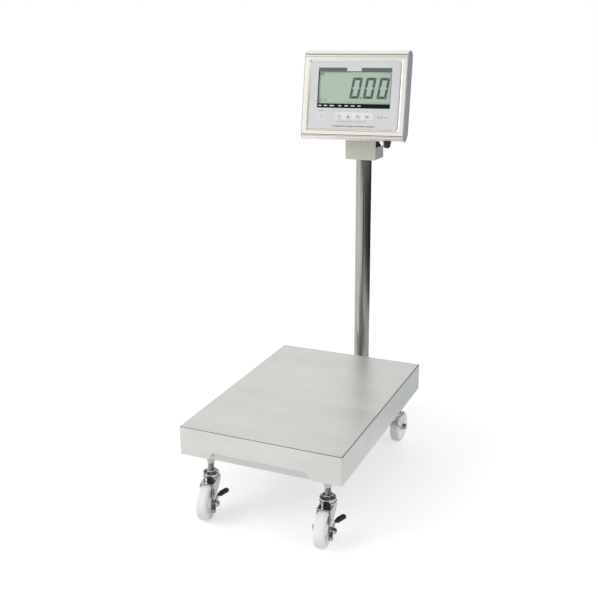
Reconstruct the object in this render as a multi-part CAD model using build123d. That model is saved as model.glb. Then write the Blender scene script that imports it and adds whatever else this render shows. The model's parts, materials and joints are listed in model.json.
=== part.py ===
from build123d import *
import math
import os

# A wheeled platform scale with a display head on a column.
# Millimetres, +X to the operator's right, +Y to the back, +Z up, floor at zero.

# Platter, a folded sheet lid that lifts off
PLATTER_WIDTH = 360.0
PLATTER_DEPTH = 522.0
SKIRT_HEIGHT = 62.5
PLATTER_SHEET = 1.5
PLATTER_EDGE_RADIUS = 2.0
NOTCH_WIDTH = 228.0
NOTCH_SLOPE = 10.5
NOTCH_HEIGHT = 15.5

# Base frame, folded channel with the casters under its corners
FRAME_GAP = 7.0
FRAME_HEIGHT = 36.0
FRAME_SHEET = 2.5
FLANGE_LOWER = 56.0
FLANGE_UPPER = 18.0
STEM_INSET_X = 46.5
STEM_INSET_Y = 43.0

# Load cell, its beam and the upper frame that it carries
BEAM_WIDTH = 90.0
BEAM_SHEET = 3.0
BEAM_HEIGHT = 24.0
CELL_LENGTH = 150.0
CELL_WIDTH = 40.0
CELL_HEIGHT = 22.0
CELL_SPACER = 4.0
CELL_END = 40.0
UPPER_PLATE = 4.0
TUBE_WIDTH = 25.0
TUBE_HEIGHT = 16.0
TUBE_WALL = 1.5
UPPER_INSET = 30.0
PAD_INSET_X = 48.0
PAD_INSET_Y = 71.0
PAD_RADIUS = 12.0
PAD_HEIGHT = 8.0
STOP_INSET = 52.0
STOP_GAP = 1.2

# Column, its arm under the frame and its foot plate
POLE_DIAMETER = 38.1
POLE_WALL = 1.5
POLE_LENGTH = 536.5
POLE_BEHIND = 87.0
ARM_HEIGHT = 32.0
ARM_SHEET = 3.0
ARM_OVERLAP = 54.0
ARM_TAIL = 40.0
FOOT_RIM = 11.95
FOOT_PLATE = 5.0

# Folded tray on the column and the pivots of the display head
TRAY_WIDTH = 76.0
TRAY_DEPTH = 60.0
TRAY_FRONT = 27.0
TRAY_SHEET = 2.0
TRAY_FRONT_HEIGHT = 47.0
TRAY_SIDE_HEIGHT = 29.5
PIVOT_HEIGHT = 35.5
PIVOT_BOLT = 8.0
EAR_SHEET = 2.5
CHEEK_GAP = 17.5
CHEEK_DEPTH = 26.0
HEAD_REACH = 128.6
HEAD_RISE = 34.8
HEAD_TILT = 12.3
HEAD_TURN = 6.0

# Display head, in its own frame: X across, Y from the face back, Z up the face
HEAD_WIDTH = 239.0
HEAD_FACE = 175.0
HEAD_DEPTH = 56.0
HEAD_WALL = 2.0
FOLD_STEP = 1.0
LOWER_ROLL = 8.5
UPPER_ROLL = 8.5
PANEL_BORDER = 15.5
PANEL_LOW = 14.0
PANEL_HIGH = 10.0
PANEL_RECESS = 3.0
PANEL_SLOPE = 4.0
PANEL_BEND = 3.0
PANEL_SHEET = 0.8
WINDOW_BORDER = 19.0
WINDOW_LOW = 61.0
WINDOW_UNDER_TOP = 24.0
KEY_RADIUS = 6.5
KEY_ROW = 42.0
KEY_PITCH = 22.0
KEY_GAP = 0.3
KEY_TRAVEL = 0.6
KEY_PROUD = 0.4
LCD_GLASS = 2.5
BOARD_SHEET = 1.6
BULGE_INSET = 6.0
BULGE_LOW = 26.0
BULGE_UNDER_TOP = 16.0
BULGE_DEPTH_LOW = 8.0
BULGE_DEPTH_HIGH = 28.0
GASKET = 1.0
YOKE_LENGTH = 72.0
BATTERY_WIDTH = 70.0
BATTERY_DEPTH = 47.0
SHELF_HEIGHT = 46.0
GLAND_INSET = 40.5
GLAND_DEPTH = 25.5
GLAND_BORE = 7.0

# Casters
WHEEL_DIAMETER = 75.0
WHEEL_WIDTH = 24.0
WHEEL_ROOM = 0.5
TRAIL = 37.0
AXLE_DIAMETER = 8.0
STEM_DIAMETER = 12.0
STEM_SHOWN = 31.3
FORK_SHEET = 2.0
CROWN_SHEET = 2.5
FORK_BACK = 16.0
RACE_RADIUS = 17.0
RACE_HEIGHT = 4.7
BOSS_HEIGHT = 27.0
FRONT_LEFT_TURN = 10.0
FRONT_RIGHT_TURN = 6.0
LEVER_SHEET = 2.0
LEVER_SPACER = 4.0

# Clearances
RUNNING = 0.05
LOOSE = 0.3

# Heights, from the floor up
AXLE_Z = WHEEL_DIAMETER / 2
CROWN_UNDER = WHEEL_DIAMETER + WHEEL_ROOM
FORK_TOP = CROWN_UNDER + CROWN_SHEET
BOSS_BOTTOM = FORK_TOP + RACE_HEIGHT + STEM_SHOWN
FRAME_BOTTOM = BOSS_BOTTOM + BOSS_HEIGHT
FRAME_TOP = FRAME_BOTTOM + FRAME_HEIGHT
FLANGE_TOP = FRAME_BOTTOM + FRAME_SHEET
CELL_BOTTOM = FLANGE_TOP + BEAM_SHEET + CELL_SPACER
CELL_TOP = CELL_BOTTOM + CELL_HEIGHT
UPPER_BOTTOM = CELL_TOP + CELL_SPACER
TUBE_BOTTOM = UPPER_BOTTOM + UPPER_PLATE
TUBE_TOP = TUBE_BOTTOM + TUBE_HEIGHT
PLATTER_UNDER = TUBE_TOP + PAD_HEIGHT
PLATTER_TOP = PLATTER_UNDER + PLATTER_SHEET
POLE_TOP = FRAME_BOTTOM + FOOT_PLATE + POLE_LENGTH
PIVOT_Z = POLE_TOP + PIVOT_HEIGHT

# Places across and along the frame
HALF_X = PLATTER_WIDTH / 2
HALF_Y = PLATTER_DEPTH / 2
FRAME_X = HALF_X - FRAME_GAP
FRAME_Y = HALF_Y - FRAME_GAP
STEM_X = HALF_X - STEM_INSET_X
STEM_Y = HALF_Y - STEM_INSET_Y
PAD_X = HALF_X - PAD_INSET_X
PAD_Y = HALF_Y - PAD_INSET_Y
STOP_X = HALF_X - STOP_INSET
TUBE_X = BEAM_WIDTH / 2
POLE_Y = HALF_Y + POLE_BEHIND
FOOT_SIDE = POLE_DIAMETER + 2 * FOOT_RIM
ARM_WIDTH = FOOT_SIDE + 8.0
CHEEK_HALF = TRAY_WIDTH / 2 - CHEEK_GAP
FORK_WIDTH = WHEEL_WIDTH + 2 * (FORK_SHEET + 1.0)
FORK_REACH = TRAIL - 4.0
STEM_PLACES = {
    "front_left": (-STEM_X, -STEM_Y, FRONT_LEFT_TURN),
    "front_right": (STEM_X, -STEM_Y, FRONT_RIGHT_TURN),
    "rear_left": (-STEM_X, STEM_Y, 180.0),
    "rear_right": (STEM_X, STEM_Y, 180.0),
}

# Places in the display head
PANEL_WIDTH = HEAD_WIDTH - 2 * PANEL_BORDER
PANEL_HEIGHT = HEAD_FACE - PANEL_LOW - PANEL_HIGH
PANEL_CENTRE = PANEL_LOW + PANEL_HEIGHT / 2
WINDOW_WIDTH = PANEL_WIDTH - 2 * WINDOW_BORDER
WINDOW_HEIGHT = HEAD_FACE - WINDOW_UNDER_TOP - WINDOW_LOW
WINDOW_CENTRE = WINDOW_LOW + WINDOW_HEIGHT / 2
BULGE_HIGH = HEAD_FACE - BULGE_UNDER_TOP
YOKE_LOW = BULGE_LOW + 8.0
YOKE_HIGH = YOKE_LOW + YOKE_LENGTH
BATTERY_HEIGHT = BULGE_HIGH - SHELF_HEIGHT - 13.0
GLAND_X = HEAD_WIDTH / 2 - GLAND_INSET
BED_BACK = PANEL_RECESS + HEAD_WALL
KEY_BACK = BED_BACK + 2.0
BOARD_KEY = KEY_BACK + KEY_TRAVEL + 2.4
BOARD_MAIN = BED_BACK + LCD_GLASS + 3.5
KEY_PLACES = {
    "power": 29.0 - PANEL_WIDTH / 2,
    "zero": -1.5 * KEY_PITCH + 1.0,
    "tare": -0.5 * KEY_PITCH + 1.0,
    "unit": 0.5 * KEY_PITCH + 1.0,
    "print": 1.5 * KEY_PITCH + 1.0,
}


def block(x0, x1, y0, y1, z0, z1):
    """A box between two corners."""
    centre = Pos((x0 + x1) / 2, (y0 + y1) / 2, (z0 + z1) / 2)
    return centre * Box(x1 - x0, y1 - y0, z1 - z0)


def disc(radius, z0, z1, x=0.0, y=0.0):
    """An upright cylinder between two heights."""
    return Pos(x, y, (z0 + z1) / 2) * Cylinder(radius, z1 - z0)


def rod(radius, x0, x1, y=0.0, z=0.0):
    """A cylinder along X between two places."""
    return Pos((x0 + x1) / 2, y, z) * Rot(0, 90, 0) * Cylinder(radius, x1 - x0)


def hexagon(across_flats, z0, z1, x=0.0, y=0.0):
    """An upright hexagonal prism, as a nut or a bolt head."""
    face = RegularPolygon(across_flats / 2, 6, major_radius=False)
    return Pos(x, y, z0) * extrude(face, z1 - z0)


def side_profile(points, x0, x1):
    """A closed outline of (Y, Z) points carried along X."""
    face = make_face(Plane.YZ * Polyline(*points, close=True))
    return Pos(x0, 0, 0) * extrude(face, x1 - x0, dir=(1, 0, 0))


def turned(points):
    """A closed outline of (radius, height) points spun about Z."""
    face = make_face(Plane.XZ * Polyline(*points, close=True))
    return revolve(face, Axis.Z)


def group(shapes):
    """Separate solids that share one node."""
    return Compound([solid for shape in shapes for solid in shape.solids()])


def corners(x, y):
    """The four places mirrored about both middle planes."""
    return [(sx * x, sy * y) for sx in (-1, 1) for sy in (-1, 1)]


# Platter and the frame under it


def platter():
    """Sheet lid with a finger notch in its front skirt."""
    bottom, s = PLATTER_TOP - SKIRT_HEIGHT, PLATTER_SHEET
    outer = block(-HALF_X, HALF_X, -HALF_Y, HALF_Y, bottom, PLATTER_TOP)
    outer = fillet(outer.edges().filter_by(Axis.Z), PLATTER_EDGE_RADIUS)
    outer = fillet(outer.faces().sort_by(Axis.Z)[-1].edges(), PLATTER_EDGE_RADIUS)
    inner = block(s - HALF_X, HALF_X - s, s - HALF_Y, HALF_Y - s, bottom - 1, PLATTER_TOP - s)
    low, high = NOTCH_WIDTH / 2, NOTCH_WIDTH / 2 - NOTCH_SLOPE
    outline = [(-low, bottom), (-high, bottom + NOTCH_HEIGHT), (high, bottom + NOTCH_HEIGHT), (low, bottom)]
    face = make_face(Plane.XZ * Polyline(*outline, (low, bottom - 2), (-low, bottom - 2), close=True))
    notch = Pos(0, -HALF_Y - 1, 0) * extrude(face, s + 2, dir=(0, 1, 0))
    notch = fillet(notch.edges().filter_by(Axis.Y).group_by(Axis.Z)[-1], 5.0)
    return outer - inner - notch


def hollow_tube(x, y, length, along_x):
    """Rectangular tube of the upper frame, open at both ends."""
    middle = (TUBE_BOTTOM + TUBE_TOP) / 2
    width, height = TUBE_WIDTH, TUBE_TOP - TUBE_BOTTOM
    tube = Box(length, width, height) - Box(length + 2, width - 2 * TUBE_WALL, height - 2 * TUBE_WALL)
    return Pos(x, y, middle) * Rot(0, 0, 0 if along_x else 90) * tube


def upper_frame():
    """Two cross tubes and two long tubes welded over the plate on the cell's live end."""
    live = -(CELL_LENGTH - CELL_END) / 2
    half = TUBE_X + TUBE_WIDTH / 2
    frame = block(-half, half, live - 35, live + 35, UPPER_BOTTOM, TUBE_BOTTOM)
    for side in (-1, 1):
        frame += hollow_tube(side * TUBE_X, 0, 2 * PAD_Y - TUBE_WIDTH, False)
        frame += hollow_tube(0, side * PAD_Y, PLATTER_WIDTH - 2 * UPPER_INSET, True)
    for x, y in cell_bolt_places(live):
        frame -= disc(3.3, UPPER_BOTTOM - 1, TUBE_BOTTOM + 1, x, y)
    for x, y in corners(PAD_X, PAD_Y):
        frame -= disc(3.3, TUBE_TOP - TUBE_WALL - 1, TUBE_TOP + 1, x, y)
    return frame


def platter_pads():
    """Four rubber pads under the platter, each plugged into the frame."""
    pads = []
    for x, y in corners(PAD_X, PAD_Y):
        pad = disc(PAD_RADIUS, TUBE_TOP, PLATTER_UNDER, x, y)
        pads.append(pad + disc(3.2, TUBE_TOP - 4, TUBE_TOP, x, y))
    return group(pads)


def cell_bolt_places(end_y):
    """The two bolts at one end of the load cell."""
    return [(0.0, end_y - 10.0), (0.0, end_y + 10.0)]


def load_cell():
    """Single point cell: a block with the double hole that lets it bend."""
    half = CELL_LENGTH / 2
    middle = (CELL_BOTTOM + CELL_TOP) / 2
    body = block(-CELL_WIDTH / 2, CELL_WIDTH / 2, -half, half, CELL_BOTTOM, CELL_TOP)
    body = fillet(body.edges().filter_by(Axis.Z), 2.0)
    for y in (-14.0, 14.0):
        body -= rod(7.5, -CELL_WIDTH, CELL_WIDTH, y, middle)
    body -= block(-CELL_WIDTH, CELL_WIDTH, -14, 14, middle - 2, middle + 2)
    for end in (-1, 1):
        for x, y in cell_bolt_places(end * (CELL_LENGTH - CELL_END) / 2):
            body -= disc(3.05, CELL_BOTTOM - 1, CELL_TOP + 1, x, y)
    return body


def load_cell_spacers():
    """Plates that hold the cell off the beam and off the upper frame."""
    plates = []
    half_x, half_y = CELL_WIDTH / 2, CELL_END / 2
    for end, z in ((-1, CELL_TOP), (1, CELL_BOTTOM - CELL_SPACER)):
        middle = end * (CELL_LENGTH - CELL_END) / 2
        plate = block(-half_x, half_x, middle - half_y, middle + half_y, z, z + CELL_SPACER)
        for x, y in cell_bolt_places(middle):
            plate -= disc(3.3, z - 1, z + CELL_SPACER + 1, x, y)
        plates.append(plate)
    return group(plates)


def headed_screw(radius, head_radius, low, high, x, y):
    """Screw with its round head above."""
    return disc(radius, low, high, x, y) + disc(head_radius, high, high + 2 * radius, x, y)


def load_cell_bolts():
    """Screws, two from above at the live end and two from below at the fixed end."""
    middle = (CELL_LENGTH - CELL_END) / 2
    bolts = [headed_screw(3.0, 5.0, CELL_BOTTOM + 4, TUBE_BOTTOM, x, y) for x, y in cell_bolt_places(-middle)]
    for x, y in cell_bolt_places(middle):
        upside_down = Pos(x, y, 0) * Rot(180, 0, 0)
        bolts.append(upside_down * headed_screw(3.0, 5.0, 4 - CELL_TOP, -FLANGE_TOP, 0, 0))
    return group(bolts)


def load_cell_beam():
    """Open channel from the front rail to the rear rail, which carries the cell."""
    end = FRAME_Y - FRAME_SHEET - LOOSE
    half, s = BEAM_WIDTH / 2, BEAM_SHEET
    beam = block(-half, half, -end, end, FLANGE_TOP, FLANGE_TOP + BEAM_HEIGHT)
    beam -= block(s - half, half - s, -end - 1, end + 1, FLANGE_TOP + s, FLANGE_TOP + BEAM_HEIGHT + 1)
    for x, y in cell_bolt_places((CELL_LENGTH - CELL_END) / 2):
        beam -= disc(3.3, FLANGE_TOP - 1, FLANGE_TOP + s + 1, x, y)
    return beam - rail_bolt_holes()


def rear_bolt_places():
    """Where the beam, the rear rail and the column arm are bolted together."""
    y = FRAME_Y - FLANGE_LOWER / 2
    return [(x, y + dy) for x, dy in corners(22.0, 13.0)]


def front_bolt_places():
    """Where the beam is bolted to the front rail."""
    return [(x, FLANGE_LOWER / 2 - FRAME_Y) for x in (-22.0, 22.0)]


def rail_bolt_holes():
    """Holes for the bolts at both ends of the beam."""
    low, high = FRAME_BOTTOM - ARM_SHEET - 1, FLANGE_TOP + BEAM_SHEET + 1
    return group(disc(4.3, low, high, x, y) for x, y in rear_bolt_places() + front_bolt_places())


def base_frame():
    """Rectangular ring of inward facing channel."""
    s = FRAME_SHEET
    ring = block(-FRAME_X, FRAME_X, -FRAME_Y, FRAME_Y, FRAME_BOTTOM, FRAME_TOP)
    ring = fillet(ring.edges().filter_by(Axis.Z), 3.5)
    ring -= block(s - FRAME_X, FRAME_X - s, s - FRAME_Y, FRAME_Y - s, FLANGE_TOP, FRAME_TOP - s)
    low_x, low_y = FRAME_X - FLANGE_LOWER, FRAME_Y - FLANGE_LOWER
    ring -= block(-low_x, low_x, -low_y, low_y, FRAME_BOTTOM - 1, FLANGE_TOP + 1)
    top_x, top_y = FRAME_X - FLANGE_UPPER, FRAME_Y - FLANGE_UPPER
    ring -= block(-top_x, top_x, -top_y, top_y, FRAME_TOP - s - 1, FRAME_TOP + 1)
    for x, y in corners(STEM_X, STEM_Y):
        ring -= disc(STEM_DIAMETER / 2 + LOOSE, FRAME_BOTTOM - 1, FLANGE_TOP + 1, x, y)
    for x, y in corners(STOP_X, PAD_Y):
        ring -= disc(4.3, FRAME_BOTTOM - 1, FLANGE_TOP + 1, x, y)
    return ring - rail_bolt_holes()


def overload_stops():
    """Set screws that catch the upper frame before the cell is bent too far."""
    stops = []
    for x, y in corners(STOP_X, PAD_Y):
        stop = disc(4.0, FRAME_BOTTOM, TUBE_BOTTOM - STOP_GAP, x, y)
        stops.append(stop + hexagon(13, FRAME_BOTTOM - 5.3, FRAME_BOTTOM, x, y))
    return group(stops)


def stem_bosses():
    """Bosses welded under the frame for the caster stems."""
    bore = STEM_DIAMETER / 2 + RUNNING
    outline = [(bore, BOSS_BOTTOM), (bore + 1.8, BOSS_BOTTOM), (bore + 3.5, FRAME_BOTTOM), (bore, FRAME_BOTTOM)]
    return group(Pos(x, y, 0) * turned(outline) for x, y in corners(STEM_X, STEM_Y))


def through_bolt(x, y, low, high):
    """M8 bolt with its head below and its nut above, cut flush with the nut."""
    return hexagon(13, low - 5.3, low, x, y) + disc(4.0, low, high, x, y) + hexagon(13, high, high + 6.5, x, y)


def frame_bolts():
    """Bolts of the beam's front end, of the column arm and of the column's foot plate."""
    top = FLANGE_TOP + BEAM_SHEET
    low = FRAME_BOTTOM - ARM_SHEET
    bolts = [through_bolt(x, y, FRAME_BOTTOM, top) for x, y in front_bolt_places()]
    bolts += [through_bolt(x, y, low, top) for x, y in rear_bolt_places()]
    bolts += [through_bolt(x, y, low, FRAME_BOTTOM + FOOT_PLATE) for x, y in foot_bolt_places()]
    return group(bolts)


# Column and its arm


def column_arm():
    """Folded channel, open below, that runs back from under the rear rail."""
    start, end = FRAME_Y - ARM_OVERLAP, POLE_Y + ARM_TAIL
    low = FRAME_BOTTOM - ARM_HEIGHT
    outline = [
        (start, FRAME_BOTTOM),
        (end, FRAME_BOTTOM),
        (end, low + 12),
        (end - 12, low),
        (start + 26, low),
        (start, low + 16),
    ]
    half, s = ARM_WIDTH / 2, ARM_SHEET
    arm = side_profile(outline, -half, half)
    arm = fillet(arm.edges().filter_by(Axis.Y).group_by(Axis.Z)[-1], s)
    arm -= block(s - half, half - s, start - 1, end + 1, low - 1, FRAME_BOTTOM - s)
    for x, y in foot_bolt_places():
        arm -= disc(4.3, FRAME_BOTTOM - s - 1, FRAME_BOTTOM + 1, x, y)
    return arm - rail_bolt_holes()


def foot_bolt_places():
    """Bolt places of the column's foot plate."""
    reach = FOOT_SIDE / 2 - 10.0
    return [(x, POLE_Y + y) for x, y in corners(reach, reach)]


def column_foot():
    """Square plate welded to the column's lower end."""
    half = FOOT_SIDE / 2
    top = FRAME_BOTTOM + FOOT_PLATE
    plate = block(-half, half, POLE_Y - half, POLE_Y + half, FRAME_BOTTOM, top)
    plate = fillet(plate.edges().filter_by(Axis.Z), 8.0)
    for x, y in foot_bolt_places():
        plate -= disc(4.3, FRAME_BOTTOM - 1, top + 1, x, y)
    return plate


def column():
    """Round tube."""
    low, radius = FRAME_BOTTOM + FOOT_PLATE, POLE_DIAMETER / 2
    return disc(radius, low, POLE_TOP, 0, POLE_Y) - disc(radius - POLE_WALL, low - 1, POLE_TOP + 1, 0, POLE_Y)


def head_tray():
    """Folded tray on the column: a floor, a tall front and two low sides."""
    half, s = TRAY_WIDTH / 2, TRAY_SHEET
    y0 = POLE_Y - TRAY_FRONT
    y1 = y0 + TRAY_DEPTH
    outline = [
        (y0, POLE_TOP),
        (y1, POLE_TOP),
        (y1, POLE_TOP + TRAY_SIDE_HEIGHT),
        (y0 + s, POLE_TOP + TRAY_SIDE_HEIGHT),
        (y0 + s, POLE_TOP + TRAY_FRONT_HEIGHT),
        (y0, POLE_TOP + TRAY_FRONT_HEIGHT),
    ]
    tray = side_profile(outline, -half, half)
    tray = fillet(tray.edges().filter_by(Axis.Y).group_by(Axis.Z)[0], s)
    tray -= block(s - half, half - s, y0 + s, y1 + 1, POLE_TOP + s, POLE_TOP + TRAY_FRONT_HEIGHT + 1)
    tray -= disc(PIVOT_BOLT / 2 + LOOSE, POLE_TOP - 1, POLE_TOP + s + 1, 0, POLE_Y)
    return tray - disc(4.5, POLE_TOP - 1, POLE_TOP + s + 1, 0, POLE_Y + 13)


def pan_bolt():
    """Upright bolt on which the head turns, with its washer and its nut inside the column."""
    washer_low = POLE_TOP + TRAY_SHEET
    cheeks_low = washer_low + EAR_SHEET
    head_low = cheeks_low + EAR_SHEET
    bolt = disc(PIVOT_BOLT / 2, POLE_TOP - 10, head_low, 0, POLE_Y)
    bolt += hexagon(13, head_low, head_low + 5.3, 0, POLE_Y)
    bolt += hexagon(13, POLE_TOP - 6.5, POLE_TOP, 0, POLE_Y)
    washer = disc(9.0, washer_low, cheeks_low, 0, POLE_Y)
    washer -= disc(PIVOT_BOLT / 2 + LOOSE, washer_low - 1, cheeks_low + 1, 0, POLE_Y)
    return group([bolt, washer])


def pan_place():
    """The turned place of what pans with the head."""
    return Pos(0, POLE_Y, 0) * Rot(0, 0, HEAD_TURN)


def pan_cheeks():
    """Folded U that turns on the tray and holds the tilt bolt between its cheeks."""
    low = POLE_TOP + TRAY_SHEET + EAR_SHEET
    depth = CHEEK_DEPTH / 2
    cheeks = block(-CHEEK_HALF, CHEEK_HALF, -depth, depth, low, PIVOT_Z)
    cheeks += rod(depth, -CHEEK_HALF, CHEEK_HALF, 0, PIVOT_Z)
    inside = CHEEK_HALF - EAR_SHEET
    cheeks -= block(-inside, inside, -depth - 1, depth + 1, low + EAR_SHEET, PIVOT_Z + depth + 1)
    cheeks -= rod(PIVOT_BOLT / 2 + RUNNING, -CHEEK_HALF - 1, CHEEK_HALF + 1, 0, PIVOT_Z)
    return pan_place() * (cheeks - disc(PIVOT_BOLT / 2 + RUNNING, low - 1, low + EAR_SHEET + 1))


def tilt_bolt():
    """Cross bolt with its head at the left and its nut at the right."""
    grip = CHEEK_HALF + LOOSE + EAR_SHEET + RUNNING
    turn = Pos(0, 0, PIVOT_Z) * Rot(0, 90, 0)
    bolt = rod(PIVOT_BOLT / 2, -grip, grip + 8, 0, PIVOT_Z)
    bolt += turn * hexagon(13, -grip - 5.3, -grip)
    return pan_place() * (bolt + turn * hexagon(13, grip, grip + 6.5))


# Display head


def head_place():
    """Carries a piece from the head's own frame to its place over the column."""
    return pan_place() * Pos(0, -HEAD_REACH, PIVOT_Z + HEAD_RISE) * Rot(-HEAD_TILT, 0, 0)


def head_point(x, d, h):
    """A place in the head's own frame, in the part's frame."""
    return (head_place() * Pos(x, d, h)).position


def pivot_in_head():
    """Where the tilt axis lies in the head's own frame, as depth and height."""
    tilt = math.radians(HEAD_TILT)
    depth = HEAD_REACH * math.cos(tilt) + HEAD_RISE * math.sin(tilt)
    return depth, HEAD_REACH * math.sin(tilt) - HEAD_RISE * math.cos(tilt)


def shell_corners():
    """Corners of the housing's side outline with the bend radius of each, from the lower roll up the face."""
    top = HEAD_FACE
    return [
        (FOLD_STEP, -9.0, LOWER_ROLL),
        (FOLD_STEP, 0.0, 0.0),
        (0.0, 0.0, 0.0),
        (0.0, top, 0.0),
        (FOLD_STEP, top, 0.0),
        (FOLD_STEP, top + 9, UPPER_ROLL),
        (31.0, top + 20, 9.0),
        (HEAD_DEPTH - 5, top + 17, 5.0),
        (HEAD_DEPTH, top + 3, 3.0),
        (HEAD_DEPTH, 9.0, 3.0),
        (HEAD_DEPTH - 21, -9.0, 3.0),
    ]


def shell_section(inset=0.0):
    """Side section of the housing with its bends, one wall smaller for the inside."""
    section = Polyline(*[(d, h) for d, h, radius in shell_corners()], close=True)
    section = make_face(section)
    if inset:
        section = offset(section, -inset, kind=Kind.INTERSECTION)
    for d, h, radius in shell_corners():
        if radius:
            corner = section.vertices().sort_by_distance((d, h))[0]
            section = fillet(corner, radius - inset)
    return section


def shell_body(x0, x1, inset=0.0):
    """The housing's section carried along X."""
    section = Plane.YZ * shell_section(inset)
    return Pos(x0, 0, 0) * extrude(section, x1 - x0, dir=(1, 0, 0))


def bulge_outline(grow=0.0):
    """Side outline of the raised part of the rear cover."""
    back = HEAD_DEPTH + GASKET
    low, high = BULGE_LOW + grow, BULGE_HIGH - grow
    return [(back, high + 7), (bulge_depth(high) - grow, high), (bulge_depth(low) - grow, low), (back, low - 7)]


def bulge_depth(h):
    """Depth of the bulge's rear face at one height."""
    share = (h - BULGE_LOW) / (BULGE_HIGH - BULGE_LOW)
    return HEAD_DEPTH + BULGE_DEPTH_LOW + share * (BULGE_DEPTH_HIGH - BULGE_DEPTH_LOW)


def bulge_place(x, h):
    """A place on the bulge's rear face with its Y axis pointing out of it."""
    lean = math.degrees(math.atan2(BULGE_DEPTH_HIGH - BULGE_DEPTH_LOW, BULGE_HIGH - BULGE_LOW))
    return Pos(x, bulge_depth(h), h) * Rot(-lean, 0, 0)


def facing_plate(width, height, centre, d0, d1, radius):
    """Flat plate parallel to the face with round corners."""
    sketch = Plane.XZ * Pos(0, centre) * RectangleRounded(width, height, radius)
    return Pos(0, d0, 0) * extrude(sketch, d1 - d0, dir=(0, 1, 0))


def pin(radius, d0, d1, x, h):
    """Cylinder at right angles to the face."""
    return Pos(x, (d0 + d1) / 2, h) * Rot(90, 0, 0) * Cylinder(radius, d1 - d0)


def dish(grow, d0, d1):
    """Tapered bed of the panel, pressed into the face."""
    wide = RectangleRounded(
        PANEL_WIDTH + 2 * PANEL_SLOPE + grow, PANEL_HEIGHT + 2 * PANEL_SLOPE + grow, 6.0
    )
    narrow = RectangleRounded(PANEL_WIDTH + grow, PANEL_HEIGHT + grow, 3.0)
    centre = Plane.XZ * Pos(0, PANEL_CENTRE)
    return loft([Pos(0, d0, 0) * centre * wide, Pos(0, d1, 0) * centre * narrow])


def dish_mouth(wrap):
    """The edges where the pressed bed leaves the face."""
    reach = PANEL_WIDTH / 2 + PANEL_SLOPE + 0.5
    face_edges = wrap.edges().filter_by_position(Axis.Y, -0.01, 0.01)
    within = face_edges.filter_by_position(Axis.X, -reach, reach)
    return within.filter_by_position(Axis.Z, PANEL_LOW - PANEL_SLOPE - 0.5, HEAD_FACE - 0.5)


def board_posts():
    """Places of the posts that carry the two circuit boards, with their length."""
    ends = (KEY_PLACES["power"] - 17, KEY_PLACES["print"] + 28)
    keys = [(x, KEY_ROW + dh, BOARD_KEY) for x in ends for dh in (-10.0, 10.0)]
    low = WINDOW_CENTRE - WINDOW_HEIGHT / 2 + 5
    high = WINDOW_CENTRE + WINDOW_HEIGHT / 2 - 5
    x_post = WINDOW_WIDTH / 2 + 6
    return keys + [(side * x_post, h, BOARD_MAIN) for side in (-1, 1) for h in (low, high)]


def head_wrap():
    """Folded sheet of the face, the top and the bottom, with the pressed bed of the panel."""
    half, w = HEAD_WIDTH / 2 - HEAD_WALL, HEAD_WALL
    wrap = shell_body(-half, half) - shell_body(-half - 1, half + 1, w)
    wrap -= block(8 - half, half - 8, HEAD_DEPTH - w - 1, HEAD_DEPTH + 1, 22, HEAD_FACE - 10)
    wrap += dish(2 * w, w / 2, BED_BACK)
    wrap -= dish(0, 0, PANEL_RECESS)
    wrap = fillet(dish_mouth(wrap), PANEL_BEND)
    wrap -= facing_plate(WINDOW_WIDTH - 6, WINDOW_HEIGHT - 6, WINDOW_CENTRE, 0, BED_BACK + 1, 1.0)
    for x in KEY_PLACES.values():
        wrap -= pin(KEY_RADIUS + KEY_GAP, 0, BED_BACK + 1, x, KEY_ROW)
    for x, h, back in board_posts():
        wrap += pin(2.5, BED_BACK - 1, back, x, h)
    for x, h in cover_screw_places():
        wrap -= pin(1.7, HEAD_DEPTH - w - 1, HEAD_DEPTH + 1, x, h)
    return wrap - gland_place() * disc(6.2, -1, w + 1)


def head_sides():
    """End plates of the housing."""
    half = HEAD_WIDTH / 2
    return group([shell_body(half - HEAD_WALL, half), shell_body(-half, HEAD_WALL - half)])


def membrane_panel():
    """Printed front sheet with its window and key holes."""
    d0, d1 = PANEL_RECESS - PANEL_SHEET, PANEL_RECESS
    sheet = facing_plate(PANEL_WIDTH - LOOSE, PANEL_HEIGHT - LOOSE, PANEL_CENTRE, d0, d1, 3.0)
    sheet -= facing_plate(WINDOW_WIDTH, WINDOW_HEIGHT, WINDOW_CENTRE, d0 - 1, d1 + 1, 1.0)
    for x in KEY_PLACES.values():
        sheet -= pin(KEY_RADIUS + KEY_GAP, d0 - 1, d1 + 1, x, KEY_ROW)
    return sheet


def window_lens():
    """Clear sheet over the display."""
    d0, d1 = PANEL_RECESS - PANEL_SHEET, PANEL_RECESS
    return facing_plate(WINDOW_WIDTH - 0.1, WINDOW_HEIGHT - 0.1, WINDOW_CENTRE, d0, d1, 1.0)


def key(x):
    """Round key cap with the flange that keeps it behind the panel and works its switch."""
    cap = pin(KEY_RADIUS, PANEL_RECESS - PANEL_SHEET - KEY_PROUD, BED_BACK + 0.05, x, KEY_ROW)
    return cap + pin(KEY_RADIUS + 2.0, BED_BACK + 0.05, KEY_BACK, x, KEY_ROW)


def key_switches():
    """Small switches behind the keys, each with the room its key needs to travel."""
    front = KEY_BACK + KEY_TRAVEL
    return group(block(x - 3, x + 3, front, BOARD_KEY, KEY_ROW - 3, KEY_ROW + 3) for x in KEY_PLACES.values())


def key_board():
    """Circuit board with the key switches."""
    left, right = KEY_PLACES["power"] - 22, KEY_PLACES["print"] + 33
    return block(left, right, BOARD_KEY, BOARD_KEY + BOARD_SHEET, KEY_ROW - 15, KEY_ROW + 15)


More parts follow.
